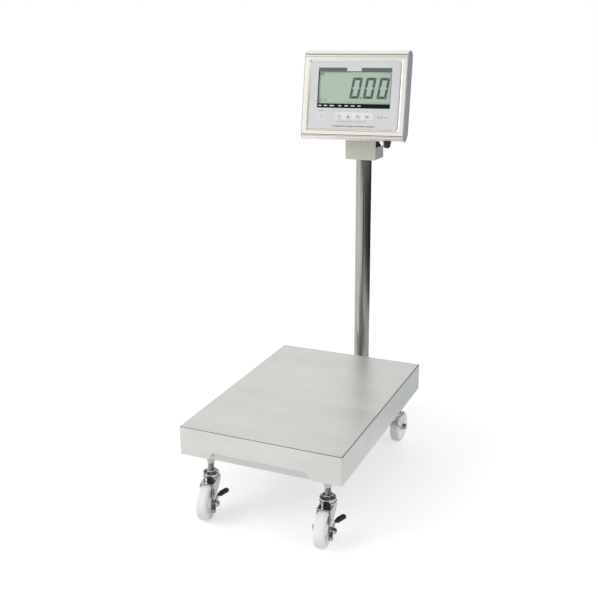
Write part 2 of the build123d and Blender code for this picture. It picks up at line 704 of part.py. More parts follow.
def lcd_frame():
    """Frame that holds the display glass behind the window."""
    frame = facing_plate(WINDOW_WIDTH + 2, WINDOW_HEIGHT + 4, WINDOW_CENTRE, BED_BACK, BOARD_MAIN, 1.5)
    return frame - facing_plate(
        WINDOW_WIDTH - 3.8, WINDOW_HEIGHT - 3.8, WINDOW_CENTRE, BED_BACK - 1, BED_BACK + LCD_GLASS, 1.0
    )


def lcd_glass():
    """Display glass."""
    return facing_plate(
        WINDOW_WIDTH - 4, WINDOW_HEIGHT - 4, WINDOW_CENTRE, BED_BACK, BED_BACK + LCD_GLASS, 1.0
    )


def main_board():
    """Circuit board behind the display."""
    low, high = WINDOW_CENTRE - WINDOW_HEIGHT / 2 - 1, WINDOW_CENTRE + WINDOW_HEIGHT / 2 + 1
    half = WINDOW_WIDTH / 2 + 10
    return block(-half, half, BOARD_MAIN, BOARD_MAIN + BOARD_SHEET, low, high)


def board_screws():
    """Screw heads that hold the two circuit boards on their posts."""
    rear = BOARD_SHEET
    heads = [Pos(x, back + rear, h) * Rot(-90, 0, 0) * hexagon(5.0, 0, 1.6) for x, h, back in board_posts()]
    return group(heads)


def battery():
    """Sealed battery with its two terminals."""
    half, d0, low = BATTERY_WIDTH / 2, BOARD_MAIN + BOARD_SHEET + 2, SHELF_HEIGHT + 1.0
    high = low + BATTERY_HEIGHT
    cell = block(-half, half, d0, d0 + BATTERY_DEPTH, low, high)
    cell = fillet(cell.edges().filter_by(Axis.Z), 2.0)
    for x in (-24.0, 24.0):
        cell += block(x - 2.4, x + 2.4, d0 + 8, d0 + 8.8, high, high + 6)
    return cell


def battery_shelf():
    """Bent sheet that stands on the housing's floor under the battery."""
    d0, s = BOARD_MAIN + BOARD_SHEET + 2, 1.0
    floor, half = HEAD_WALL - 9.0, BATTERY_WIDTH / 2 + 4
    leg = 31.0
    outline = [
        (leg - 11, floor),
        (leg, floor),
        (leg, SHELF_HEIGHT),
        (d0 + BATTERY_DEPTH, SHELF_HEIGHT),
        (d0 + BATTERY_DEPTH, SHELF_HEIGHT + s),
        (d0, SHELF_HEIGHT + s),
        (d0, SHELF_HEIGHT + 14),
        (d0 - s, SHELF_HEIGHT + 14),
        (d0 - s, SHELF_HEIGHT),
        (leg - s, SHELF_HEIGHT),
        (leg - s, floor + s),
        (leg - 11, floor + s),
    ]
    return side_profile(outline, -half, half)


def gland_place():
    """The gland points down from the flat of the lower lip."""
    return Pos(GLAND_X, GLAND_DEPTH, -9.0)


def cable_gland():
    """Gland with its hexagon, its domed clamp nut and its inner lock nut; the bore is empty."""
    gland = turned([(0.5, -15.0), (5.0, -15.0), (7.5, -11.0), (7.5, -5.0), (0.5, -5.0)])
    gland += hexagon(16, -5, 0) + disc(6.0, 0, 10) + disc(7.7, HEAD_WALL, HEAD_WALL + 4)
    return gland_place() * (gland - disc(GLAND_BORE / 2, -20, 12))


def cover_screw_places():
    """Screws above and below the rear opening."""
    reach = HEAD_WIDTH / 2 - 23.5
    return [(x, h) for x in (-reach, 0.0, reach) for h in (15.5, HEAD_FACE - 4)]


def rear_gasket():
    """Rubber seal between the housing and its rear cover."""
    d0, d1 = HEAD_DEPTH, HEAD_DEPTH + GASKET
    low, high = 10.5, HEAD_FACE + 1
    seal = facing_plate(HEAD_WIDTH - 8, high - low, (low + high) / 2, d0, d1, 4.0)
    seal -= block(12 - HEAD_WIDTH / 2, HEAD_WIDTH / 2 - 12, d0 - 1, d1 + 1, 22, HEAD_FACE - 10)
    for x, h in cover_screw_places():
        seal -= pin(1.9, d0 - 1, d1 + 1, x, h)
    return seal


def rear_cover():
    """Back plate with the deep bulge over the battery."""
    w, back = HEAD_WALL, HEAD_DEPTH + GASKET
    low, high = 9.5, HEAD_FACE + 2
    half = HEAD_WIDTH / 2 - BULGE_INSET
    cover = facing_plate(HEAD_WIDTH - 4, high - low, (low + high) / 2, back, back + w, 5.0)
    bulge = side_profile(bulge_outline(), -half, half)
    bulge = chamfer(bulge.faces().sort_by(Axis.Y)[-1].edges(), 4.0)
    cover += bulge
    cover -= chamfered_hollow(half - w)
    for x, h in cover_screw_places():
        cover -= pin(1.9, back - 1, back + w + 1, x, h)
    for x, h in yoke_screw_places():
        cover -= bulge_place(x, h) * Rot(90, 0, 0) * Cylinder(2.6, 2 * w + 2)
    return cover


def chamfered_hollow(half):
    """Inside of the bulge, one wall thinner all round."""
    hollow = side_profile(bulge_outline(HEAD_WALL), -half, half)
    hollow = chamfer(hollow.faces().sort_by(Axis.Y)[-1].edges(), 3.0)
    mouth = [(HEAD_DEPTH, BULGE_HIGH + 3), (HEAD_DEPTH + 4, BULGE_HIGH + 3), (HEAD_DEPTH + 4, 24), (HEAD_DEPTH, 24)]
    return hollow + side_profile(mouth, -half, half)


def rear_screws():
    """Cover screws."""
    rear = HEAD_DEPTH + GASKET + HEAD_WALL
    return group(pin(1.6, HEAD_DEPTH - 6, rear, x, h) + pin(3.4, rear, rear + 2, x, h) for x, h in cover_screw_places())


def yoke_screw_places():
    """Screws that hold the yoke on the bulge."""
    return [(x, h) for x in (-13.0, 13.0) for h in (YOKE_LOW + 22, YOKE_HIGH - 14)]


def tilt_yoke():
    """Bent plate on the bulge whose two ears reach back to the tilt bolt."""
    d, h = pivot_in_head()
    inner = CHEEK_HALF + LOOSE
    outer = inner + EAR_SHEET
    middle = (YOKE_LOW + YOKE_HIGH) / 2
    half = (YOKE_HIGH - YOKE_LOW) / 2 / math.cos(math.radians(8.5))
    yoke = bulge_place(0, middle) * block(-outer, outer, 0, EAR_SHEET, -half, half)
    outline = [
        (bulge_depth(YOKE_LOW) + 0.5, YOKE_LOW),
        (bulge_depth(YOKE_HIGH) + 0.5, YOKE_HIGH),
        (bulge_depth(YOKE_HIGH) + 16, YOKE_HIGH - 5),
        (d + 9, h + 3),
        (d - 6, h - 6),
        (d - 9, h + 4),
        (d - 15, h + 19),
        (d - 33, h + 21),
    ]
    for x in (-outer, inner):
        yoke += side_profile(outline, x, x + EAR_SHEET) + rod(9.0, x, x + EAR_SHEET, d, h)
        yoke -= rod(PIVOT_BOLT / 2 + RUNNING, x - 1, x + EAR_SHEET + 1, d, h)
    for x, screw_h in yoke_screw_places():
        yoke -= bulge_place(x, screw_h) * Rot(90, 0, 0) * Cylinder(2.7, 12)
    return yoke


def yoke_screws():
    """Screws through the yoke into the bulge's wall."""
    screws = []
    for x, h in yoke_screw_places():
        screw = disc(2.5, -HEAD_WALL - 3, EAR_SHEET) + disc(4.6, EAR_SHEET, EAR_SHEET + 2.6)
        screws.append(bulge_place(x, h) * Rot(-90, 0, 0) * screw)
    return group(screws)


# Casters, each in its own frame: the stem on Z, the wheel trailing to -Y


def fork():
    """Folded fork with its raceway ring under the stem."""
    half, s = FORK_WIDTH / 2, FORK_SHEET
    crown = CROWN_UNDER
    r = AXLE_DIAMETER / 2 + 5.0
    outline = [
        (FORK_BACK, FORK_TOP),
        (-FORK_REACH, FORK_TOP),
        (-FORK_REACH, FORK_TOP - 14),
        (-TRAIL - r, AXLE_Z + 2),
        (-TRAIL, AXLE_Z - r),
        (10 - TRAIL, AXLE_Z - 3),
        (FORK_BACK, FORK_TOP - 12),
    ]
    legs = side_profile(outline, -half, half) + rod(r, -half, half, -TRAIL, AXLE_Z)
    legs = fillet(legs.edges().filter_by(Axis.Y).group_by(Axis.Z)[-1], s)
    body = legs - block(s - half, half - s, -2 * TRAIL, TRAIL, 0, crown)
    body -= rod(AXLE_DIAMETER / 2 + RUNNING, -half - 1, half + 1, -TRAIL, AXLE_Z)
    body += disc(RACE_RADIUS, FORK_TOP, FORK_TOP + RACE_HEIGHT)
    return body - disc(STEM_DIAMETER / 2 + RUNNING, crown - 1, FORK_TOP + RACE_HEIGHT + 1)


def upper_race():
    """Dished race that the stem clamps over the fork's ring."""
    low, bore = FORK_TOP + RACE_HEIGHT + LOOSE, STEM_DIAMETER / 2 + RUNNING
    rim = RACE_RADIUS
    return turned([(bore, low), (rim, low), (rim, low + 7), (rim - 5.5, low + 2.5), (bore, low + 2.5)])


def stem():
    """Threaded stem with its riveted lower head."""
    low = CROWN_UNDER - 5.5
    return disc(STEM_DIAMETER / 2, low, FLANGE_TOP + 6.5) + disc(STEM_DIAMETER / 2 + 3, low, CROWN_UNDER - LOOSE)


def stem_nut():
    """Lock nut in the race's dish."""
    low = FORK_TOP + RACE_HEIGHT + LOOSE + 2.5
    return hexagon(19, low, low + 11) - disc(STEM_DIAMETER / 2 + RUNNING, low - 1, low + 12)


def wheel():
    """Moulded wheel with shouldered tread and a raised hub."""
    r, half, hub = WHEEL_DIAMETER / 2, WHEEL_WIDTH / 2, FORK_WIDTH / 2 - FORK_SHEET - 0.2
    bore = AXLE_DIAMETER / 2 + RUNNING
    right = [(r, half - 5.0), (r - 1.6, half - 1.8), (r - 5.5, half), (r - 9, half - 3.5)]
    right += [(14.0, half - 3.5), (12.0, hub), (bore, hub)]
    left = [(radius, -z) for radius, z in reversed(right)]
    return Pos(0, -TRAIL, AXLE_Z) * Rot(0, 90, 0) * turned(right + left)


def axle(has_lever):
    """Axle bolt with its nut on the outer side; the lever's collar sits between leg and nut."""
    half = FORK_WIDTH / 2
    collar = LEVER_SPACER + LEVER_SHEET + 2 * LOOSE if has_lever else 0.0
    turn = Pos(0, -TRAIL, AXLE_Z) * Rot(0, 90, 0)
    bolt = rod(AXLE_DIAMETER / 2, -half, half + collar + 7.5, -TRAIL, AXLE_Z)
    bolt += turn * hexagon(13, -half - 5.3, -half)
    bolt += turn * hexagon(13, half + collar, half + collar + 5.3)
    if has_lever:
        bolt += rod(6.5, half, half + LEVER_SPACER, -TRAIL, AXLE_Z)
    return bolt


def brake_lever():
    """Brake lever with its arm, its bent pedal tab and the round shoe at its lower end."""
    x0 = FORK_WIDTH / 2 + LEVER_SPACER + LOOSE
    outline = [
        (-TRAIL - 5, AXLE_Z + 6),
        (-TRAIL + 19, AXLE_Z + 15),
        (-TRAIL + 23, AXLE_Z + 11),
        (-TRAIL + 21, AXLE_Z + 5),
        (-TRAIL + 7, AXLE_Z - 4),
    ]
    arm = side_profile(outline, x0, x0 + LEVER_SHEET) + rod(8.0, x0, x0 + LEVER_SHEET, -TRAIL, AXLE_Z)
    lower = [
        (-TRAIL + 4, AXLE_Z - 7),
        (-TRAIL - 7, AXLE_Z - 15.5),
        (-TRAIL - 14, AXLE_Z - 6),
        (-TRAIL - 6, AXLE_Z + 5),
    ]
    arm += side_profile(lower, x0, x0 + LEVER_SHEET)
    arm += rod(6.3, FORK_WIDTH / 2 + LOOSE, x0 + LEVER_SHEET, -TRAIL - 9, AXLE_Z - 10.5)
    arm += pedal_plane() * Box(24, 8, 2)
    return arm - rod(AXLE_DIAMETER / 2 + RUNNING, x0 - 1, x0 + LEVER_SHEET + 1, -TRAIL, AXLE_Z)


def pedal_plane():
    """Place of the pedal: along X it runs outward and back, a little uphill."""
    return Plane(origin=(FORK_WIDTH / 2 + 13, 26.5 - TRAIL, AXLE_Z + 12.5), x_dir=(15.0, 20.0, 4.5), z_dir=(-2.4, -3.2, 22.0))


def brake_pedal():
    """Soft pedal cap over the lever's tab."""
    cap = fillet(Box(27, 12.5, 8).edges().filter_by(Axis.Z), 6.0)
    cap = chamfer(cap.faces().sort_by(Axis.Z)[-1].edges(), 2.2)
    cap = chamfer(cap.faces().sort_by(Axis.Z)[0].edges(), 2.2)
    slot = Pos(-1.0, 0, 0) * Box(26.1, 8.1, 2.1)
    arm = FORK_WIDTH / 2 + LEVER_SPACER + LOOSE + LEVER_SHEET + RUNNING
    return pedal_plane() * (Pos(1.0, 0, 0) * cap - slot) - block(0, arm, -60, 30, 0, 90)


def caster_place(name):
    """Carries a caster from its own frame to its stem, turned as it stands."""
    x, y, turn = STEM_PLACES[name]
    return Pos(x, y, 0) * Rot(0, 0, turn)


def at_every_stem(shape):
    """The same fixed pieces under all four corners."""
    return [caster_place(name) * shape for name in STEM_PLACES]


# Assembly


def all_parts():
    """Every node by name, before the frame is centred."""
    place = head_place()
    parts = {
        "platter": platter(),
        "platter_pads": platter_pads(),
        "upper_frame": upper_frame(),
        "load_cell": load_cell(),
        "load_cell_spacers": load_cell_spacers(),
        "load_cell_bolts": load_cell_bolts(),
        "load_cell_beam": load_cell_beam(),
        "base_frame": base_frame(),
        "overload_stops": overload_stops(),
        "stem_bosses": stem_bosses(),
        "frame_bolts": frame_bolts(),
        "column_arm": column_arm(),
        "column_foot": column_foot(),
        "column": column(),
        "head_tray": head_tray(),
        "pan_bolt": pan_bolt(),
        "pan_cheeks": pan_cheeks(),
        "tilt_bolt": tilt_bolt(),
        "caster_stems": group(at_every_stem(stem()) + at_every_stem(stem_nut())),
        "upper_races": group(at_every_stem(upper_race())),
    }
    for make in HEAD_PIECES:
        parts[make.__name__] = place * make()
    for name, x in KEY_PLACES.items():
        parts["key_" + name] = place * key(x)
    for name in STEM_PLACES:
        has_lever = name.startswith("front")
        caster = {"fork": fork(), "wheel": wheel(), "axle": axle(has_lever)}
        if has_lever:
            caster.update(brake_lever=brake_lever(), brake_pedal=brake_pedal())
        for piece, shape in caster.items():
            parts[piece + "_" + name] = caster_place(name) * shape
    return parts


HEAD_PIECES = [
    head_wrap,
    head_sides,
    membrane_panel,
    window_lens,
    lcd_frame,
    lcd_glass,
    main_board,
    key_board,
    key_switches,
    board_screws,
    battery,
    battery_shelf,
    cable_gland,
    rear_gasket,
    rear_cover,
    rear_screws,
    tilt_yoke,
    yoke_screws,
]


def frame_shift(parts):
    """How far the whole object moves so that its bounding box is centred on X and Y."""
    boxes = [shape.bounding_box() for shape in parts.values()]
    x = (min(b.min.X for b in boxes) + max(b.max.X for b in boxes)) / 2
    y = (min(b.min.Y for b in boxes) + max(b.max.Y for b in boxes)) / 2
    return -x, -y


def main():
    os.makedirs("parts", exist_ok=True)
    parts = all_parts()
    dx, dy = frame_shift(parts)
    for name, shape in parts.items():
        export_step(Pos(dx, dy, 0) * shape, "parts/" + name + ".step")
    print(len(parts), "nodes, shifted by", round(dx, 3), round(dy, 3))


if __name__ == "__main__":
    main()
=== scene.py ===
"""Looks of a wheeled platform scale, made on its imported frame."""

import json
import math

import bmesh
import bpy
from mathutils import Matrix, Vector


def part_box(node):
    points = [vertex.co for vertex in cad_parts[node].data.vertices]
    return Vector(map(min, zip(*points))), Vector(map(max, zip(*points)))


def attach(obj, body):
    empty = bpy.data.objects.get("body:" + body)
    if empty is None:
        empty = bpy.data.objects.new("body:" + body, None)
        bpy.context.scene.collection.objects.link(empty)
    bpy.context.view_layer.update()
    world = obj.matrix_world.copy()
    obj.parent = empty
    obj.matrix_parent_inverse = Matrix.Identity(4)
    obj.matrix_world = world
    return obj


bl_info = {
    "name": "Platform scale looks",
    "version": (1, 0, 0),
    "blender": (4, 5, 0),
    "location": "3D View > Sidebar > Scale",
    "description": "Finishes, display, print and small parts of a wheeled platform scale",
    "category": "Add Mesh",
}

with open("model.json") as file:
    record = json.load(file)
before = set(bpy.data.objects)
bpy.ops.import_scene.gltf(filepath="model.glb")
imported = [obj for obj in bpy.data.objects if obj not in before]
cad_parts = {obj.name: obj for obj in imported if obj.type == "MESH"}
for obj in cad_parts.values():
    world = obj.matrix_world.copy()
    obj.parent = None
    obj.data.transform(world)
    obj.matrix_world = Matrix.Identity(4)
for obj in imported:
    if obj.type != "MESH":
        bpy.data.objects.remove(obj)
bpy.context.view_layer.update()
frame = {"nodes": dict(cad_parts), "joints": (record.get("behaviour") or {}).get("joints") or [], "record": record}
MM = 0.001
JOINTS = {joint["name"]: joint for joint in frame["joints"]}
CASTERS = ("front_left", "front_right", "rear_left", "rear_right")
BRAKED = ("front_left", "front_right")


# Sizes and colours that a user would change


def number(text, default, **facts):
    """A number from nought up, from a text of its name and its description."""
    name, description = text.split(": ")
    return bpy.props.FloatProperty(name=name, description=description, default=default, min=0.0, **facts)


def length(text, default):
    """A size in millimetres, from a text of its name and its description."""
    return number(text, default, max=1000.0)


def colour(text, default):
    """A colour in linear red, green and blue, from a text of its name and its description."""
    name, description = text.split(": ")
    return bpy.props.FloatVectorProperty(
        name=name, description=description, default=default, size=3, min=0.0, max=1.0, subtype="COLOR"
    )


class ScaleStage(bpy.types.PropertyGroup):
    """Camera, floor and light."""

    camera_place: bpy.props.FloatVectorProperty(
        name="Camera place", description="Where the camera stands", default=(0.7182, -1.7254, 0.9998),
        size=3, subtype="TRANSLATION", unit="LENGTH",
    )
    camera_turn: bpy.props.FloatVectorProperty(
        name="Camera turn", description="How the camera is turned",
        default=(math.radians(72.56), math.radians(0.54), math.radians(23.81)), size=3, subtype="EULER",
        unit="ROTATION",
    )
    lens: bpy.props.FloatProperty(
        name="Lens", description="Focal length of the camera", default=53.12, min=10, max=200, unit="CAMERA"
    )
    floor_colour: colour("Floor colour: Colour of the plain floor", (0.72, 0.72, 0.72))
    floor_lift: number("Floor lift: White that the floor adds to what is seen of it", 0.46, max=1.0)
    key_power: number("Key light: Strength of the large soft lamp", 34.0, unit="POWER")
    fill_power: number("Fill light: Strength of the lamp at the other side", 11.0, unit="POWER")
    sky: number("Room light: Brightness of the pale room", 0.68)
    card_tone: colour("Dark cards: Tone of the dark cards round the object", (0.03, 0.03, 0.03))
    near_card_tone: colour("Near card: Tone of the card nearest to the camera", (0.17, 0.17, 0.15))
    floor_card_tone: colour("Floor card: Tone of the card on the floor beside the object", (0.90, 0.95, 1.0))


class ScaleFinish(bpy.types.PropertyGroup):
    """Colours of the finishes."""

    platter: colour("Platter: Satin steel of the platter", (0.67, 0.665, 0.64))
    housing: colour("Housing: Warm satin steel of the head", (0.85, 0.825, 0.755))
    side: colour("Head sides: Grey of the end plates and the rear cover", (0.56, 0.56, 0.59))
    tray: colour("Tray: Warm grey of the tray and the yoke", (0.66, 0.65, 0.58))
    column: colour("Column: Polished tube", (0.39, 0.38, 0.345))
    nylon: colour("Wheels: White nylon", (0.93, 0.94, 0.92))
    panel: colour("Panel: Printed film of the head", (0.68, 0.68, 0.69))
    key_field: colour("Key field: Light printed field round the keys", (0.83, 0.83, 0.84))
    brass: colour("Brass: Round shoe on the brake lever", (0.33, 0.30, 0.21))
    lcd: colour("Display: Ground of the display glass", (0.42, 0.53, 0.45))
    digit: colour("Digits: Dark segments of the display", (0.070, 0.092, 0.078))


class ScaleDisplay(bpy.types.PropertyGroup):
    """Sizes of the digits, in millimetres."""

    digit_height: length("Digit height: Height of a digit", 47.0)
    digit_width: length("Digit width: Width of a digit", 22.8)
    digit_pitch: length("Digit pitch: Distance from digit to digit", 31.4)
    stroke: length("Stroke: Width of one segment", 5.9)
    slant: bpy.props.FloatProperty(
        name="Slant", description="How far the digits lean", default=math.radians(8.5), subtype="ANGLE",
        unit="ROTATION",
    )


class ScaleCaster(bpy.types.PropertyGroup):
    """Sizes of the small pieces on the casters, in millimetres."""

    thread_pitch: length("Thread pitch: Distance between two thread ridges", 1.75)
    shoe_radius: length("Shoe radius: Radius of the round brass shoe", 6.3)


# Helpers


def settings():
    """The scene, which holds the settings of this file."""
    return bpy.context.scene


def head_place():
    """Matrix from the head's own millimetres (across, back from the face, up the face) to the row frame."""
    across = -Vector(JOINTS["head_tilt"]["axis"])
    back = Vector(JOINTS["press_power"]["axis"])
    up = across.cross(back)
    pivot = Vector(JOINTS["head_tilt"]["pos_m"])
    origin = pivot - back * PIVOT_DEPTH * MM - up * PIVOT_HEIGHT * MM
    return axes_place(origin, across, back, up)


def caster_place(name):
    """Matrix from a caster's own millimetres (stem on Z, wheel toward -Y) to the row frame."""
    stem = Vector(JOINTS["swivel_" + name]["pos_m"])
    across = Vector(JOINTS["roll_" + name]["axis"])
    up = Vector((0, 0, 1))
    return axes_place(Vector((stem.x, stem.y, 0)), across, up.cross(across), up)


def axes_place(origin, x, y, z):
    """Matrix with these axes that also turns millimetres into metres."""
    turn = Matrix((x.normalized(), y.normalized(), z.normalized())).transposed().to_4x4()
    return Matrix.Translation(origin) @ turn @ Matrix.Scale(MM, 4)


def node_place():
    """Matrix from millimetres in the row frame to metres."""
    return Matrix.Scale(MM, 4)


def add_piece(name, bm, material, body, place, smooth=False):
    """A finished piece from a bmesh, placed in its mesh, riding on a body."""
    bm.transform(place)
    bmesh.ops.remove_doubles(bm, verts=bm.verts, dist=1e-7)
    bmesh.ops.recalc_face_normals(bm, faces=bm.faces)
    mesh = bpy.data.meshes.new(name)
    bm.to_mesh(mesh)
    bm.free()
    mesh.materials.append(material)
    piece = bpy.data.objects.new(name, mesh)
    bpy.context.scene.collection.objects.link(piece)
    if smooth:
        mesh.shade_smooth()
    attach(piece, body)


def add_to_head(name, bm, material, body="head"):
    """A finished piece given in the head's own millimetres."""
    add_piece(name, bm, material, body, head_place())


def add_box(bm, low, high, rounding=0.0, segments=2):
    """Adds a box between two corners, with rounded edges if asked."""
    low, high = Vector(low), Vector(high)
    verts = bmesh.ops.create_cube(bm, size=1.0)["verts"]
    bmesh.ops.scale(bm, vec=high - low, verts=verts)
    bmesh.ops.translate(bm, vec=(low + high) / 2, verts=verts)
    if rounding:
        edges = list({edge for vert in verts for edge in vert.link_edges})
        round_edges(bm, edges, rounding, segments)


def round_edges(bm, edges, offset, segments):
    """Bevels these edges."""
    bmesh.ops.bevel(
        bm, geom=edges, offset=offset, offset_type="OFFSET", segments=segments, profile=0.5, affect="EDGES",
        material=-1, clamp_overlap=True,
    )


def add_turned(bm, outline, centre=(0, 0, 0), axis=(0, 0, 1), steps=32, closed=True):
    """Spins an outline of (radius, distance along the axis) about the axis."""
    axis = Vector(axis).normalized()
    side = axis.orthogonal().normalized()
    centre = Vector(centre)
    points = outline + outline[:1] if closed else outline
    verts = [bm.verts.new(centre + side * radius + axis * along) for radius, along in points]
    edges = [bm.edges.new(pair) for pair in zip(verts, verts[1:])]
    bmesh.ops.spin(
        bm, geom=verts + edges, cent=centre, axis=axis, angle=math.tau, steps=steps, use_merge=True,
        dvec=(0, 0, 0),
    )
    bmesh.ops.remove_doubles(bm, verts=bm.verts, dist=1e-5)


def turned_piece(name, outline, steps, material, body, place, centre=(0, 0, 0), closed=True):
    """A finished piece spun from one outline about an upright axis."""
    bm = bmesh.new()
    add_turned(bm, outline, centre, steps=steps, closed=closed)
    add_piece(name, bm, material, body, place, smooth=True)


def add_plate(bm, outline, depth_low, depth_high):
    """Adds a flat plate from an outline of (across, up) points, between two depths of the head."""
    verts = [bm.verts.new((x, depth_low, h)) for x, h in outline]
    face = bm.faces.new(verts)
    made = bmesh.ops.extrude_face_region(bm, geom=[face])
    moved = [item for item in made["geom"] if isinstance(item, bmesh.types.BMVert)]
    bmesh.ops.translate(bm, vec=(0, depth_high - depth_low, 0), verts=moved)


def rectangle(x0, x1, h0, h1):
    """Corners of a rectangle."""
    return [(x0, h0), (x1, h0), (x1, h1), (x0, h1)]


def round_rectangle(x0, x1, h0, h1, radius, steps=6):
    """Points of a rectangle with round corners."""
    points = []
    for cx, ch, start in (
        (x1 - radius, h1 - radius, 0), (x0 + radius, h1 - radius, 90),
        (x0 + radius, h0 + radius, 180), (x1 - radius, h0 + radius, 270),
    ):
        for step in range(steps + 1):
            angle = math.radians(start + 90 * step / steps)
            points.append((cx + radius * math.cos(angle), ch + radius * math.sin(angle)))
    return points


# Finishes

PLAIN = (1, 1, 1)
WHITE = (1, 1, 1, 1)
RELIEF_DEPTH = 0.0002
WAVE_DEPTH = 0.0004


def new_finish(name):
    """A material with its node tree and its shader."""
    material = bpy.data.materials.new(name)
    material.use_nodes = True
    tree = material.node_tree
    return material, tree, tree.nodes["Principled BSDF"]


def add_node(tree, kind, inputs=None, **facts):
    """A node with its settings and its input values."""
    made = tree.nodes.new(kind)
    for name, value in facts.items():
        setattr(made, name, value)
    for name, value in (inputs or {}).items():
        made.inputs[name].default_value = value
    return made


def shade(rgb, factor):
    """A colour made lighter or darker."""
    return tuple(min(1.0, part * factor) for part in rgb) + (1.0,)


def place_noise(tree, stretch, scale, detail=4.0, roughness=0.55):
    """Noise on Object coordinates, stretched along the axes."""
    where = add_node(tree, "ShaderNodeTexCoord")
    mapping = add_node(tree, "ShaderNodeMapping", {"Scale": stretch})
    noise = add_node(tree, "ShaderNodeTexNoise", {"Scale": scale, "Detail": detail, "Roughness": roughness})
    tree.links.new(where.outputs["Object"], mapping.inputs["Vector"])
    tree.links.new(mapping.outputs["Vector"], noise.inputs["Vector"])
    return noise.outputs["Fac"]


def spread(tree, value, low, high, start=0.3, end=0.7):
    """Maps a noise to a range."""
    ranged = add_node(
        tree, "ShaderNodeMapRange", {"From Min": start, "From Max": end, "To Min": low, "To Max": high}
    )
    tree.links.new(value, ranged.inputs["Value"])
    return ranged.outputs["Result"]


def two_tones(tree, value, first, second, start=0.35, end=0.65):
    """Blends two colours by a noise."""
    ramp = add_node(tree, "ShaderNodeValToRGB")
    ramp.color_ramp.elements[0].position = start
    ramp.color_ramp.elements[0].color = first
    ramp.color_ramp.elements[1].position = end
    ramp.color_ramp.elements[1].color = second
    tree.links.new(value, ramp.inputs["Fac"])
    return ramp.outputs["Color"]


def add_bump(tree, shader, height, strength, distance):
    """Fine relief on the shader's normal."""
    bump = add_node(tree, "ShaderNodeBump", {"Strength": strength, "Distance": distance})
    tree.links.new(height, bump.inputs["Height"])
    tree.links.new(bump.outputs["Normal"], shader.inputs["Normal"])


def brushed_finish(
    name, rgb, stretch, metallic=1.0, rough=(0.30, 0.38), contrast=0.03, relief=0.03, smear=(9, 9, 9),
    bend=None,
):
    """Satin steel whose fine lines run along the axis with the smallest stretch."""
    material, tree, shader = new_finish(name)
    lines = place_noise(tree, stretch, 1.0, detail=3.0)
    cloud = place_noise(tree, smear, 1.0, detail=5.0)
    tone = two_tones(tree, cloud, shade(rgb, 1 - contrast), shade(rgb, 1 + contrast / 2))
    streak = two_tones(tree, lines, shade(PLAIN, 1 - contrast / 2), WHITE)
    tone = multiply(tree, tone, streak)
    # the bend band darkens the tone: a painted dark reflection along the sheet's bend
    if bend:
        tone = multiply(tree, tone, painted_bend_reflection(tree, *bend))
    tree.links.new(tone, shader.inputs["Base Color"])
    both = math_node(tree, "MULTIPLY", math_node(tree, "ADD", lines, cloud), 0.5)
    tree.links.new(spread(tree, both, *rough, 0.38, 0.62), shader.inputs["Roughness"])
    shader.inputs["Metallic"].default_value = metallic
    if relief:
        add_bump(tree, shader, lines, relief, RELIEF_DEPTH)
    return material


def multiply(tree, first, second):
    """Product of two colours."""
    mixed = add_node(tree, "ShaderNodeMix", data_type="RGBA", blend_type="MULTIPLY")
    mixed.inputs["Factor"].default_value = 1.0
    tree.links.new(first, mixed.inputs["A"])
    tree.links.new(second, mixed.inputs["B"])
    return mixed.outputs["Result"]


def painted_bend_reflection(tree, low, high, rgb):
    """White, but the given colour between two heights along a sheet's bend: a painted dark reflection of the bend.
    """
    where = add_node(tree, "ShaderNodeTexCoord")
    parts = add_node(tree, "ShaderNodeSeparateXYZ")
    tree.links.new(where.outputs["Object"], parts.inputs["Vector"])
    above = math_node(tree, "GREATER_THAN", parts.outputs["Z"], low)
    below = math_node(tree, "LESS_THAN", parts.outputs["Z"], high)
    inside = math_node(tree, "MULTIPLY", above, below)
    return two_tones(tree, inside, WHITE, shade(rgb, 1.0), 0.0, 1.0)


def moulded_finish(name, rgb, rough=(0.4, 0.5), contrast=0.05, specular=0.5):
    """Moulded plastic, rubber, print or paint with a fine grain and a faint change of tone."""
    material, tree, shader = new_finish(name)
    cloud = place_noise(tree, PLAIN, 14.0)
    tone = two_tones(tree, cloud, shade(rgb, 1 - contrast), shade(rgb, 1 + contrast))
    tree.links.new(tone, shader.inputs["Base Color"])
    tree.links.new(spread(tree, cloud, *rough), shader.inputs["Roughness"])
    shader.inputs["Specular IOR Level"].default_value = specular
    add_bump(tree, shader, place_noise(tree, PLAIN, 900.0, detail=2.0), 0.1, RELIEF_DEPTH)
    return material


def plated_finish(name, rgb, rough=(0.06, 0.16), relief=0.08):
    """Bright plated steel with faint waves and a trace of dust in its gloss."""
    material, tree, shader = new_finish(name)
    cloud = place_noise(tree, PLAIN, 60.0)
    tone = two_tones(tree, cloud, shade(rgb, 0.94), shade(rgb, 1.02))
    tree.links.new(tone, shader.inputs["Base Color"])
    tree.links.new(spread(tree, cloud, *rough), shader.inputs["Roughness"])
    shader.inputs["Metallic"].default_value = 1.0
    add_bump(tree, shader, place_noise(tree, PLAIN, 120.0, detail=1.0), relief, WAVE_DEPTH)
    return material


def clear_finish(name, rgb):
    """Clear window sheet."""
    material, tree, shader = new_finish(name)
    cloud = place_noise(tree, PLAIN, 40.0)
    tree.links.new(two_tones(tree, cloud, shade(rgb, 0.98), shade(rgb, 1.0)), shader.inputs["Base Color"])
    tree.links.new(spread(tree, cloud, 0.03, 0.07), shader.inputs["Roughness"])
    shader.inputs["Transmission Weight"].default_value = 1.0
    shader.inputs["IOR"].default_value = 1.1
    return material


def display_finish(name, rgb):
    """Display glass: pale green with a soft change of tone and a fine grain in its gloss."""
    material, tree, shader = new_finish(name)
    cloud = place_noise(tree, PLAIN, 7.0)
    tone = two_tones(tree, cloud, shade(rgb, 0.94), shade(rgb, 1.06), 0.25, 0.75)
    tree.links.new(tone, shader.inputs["Base Color"])
    tree.links.new(spread(tree, place_noise(tree, PLAIN, 300.0), 0.30, 0.40), shader.inputs["Roughness"])
    return material


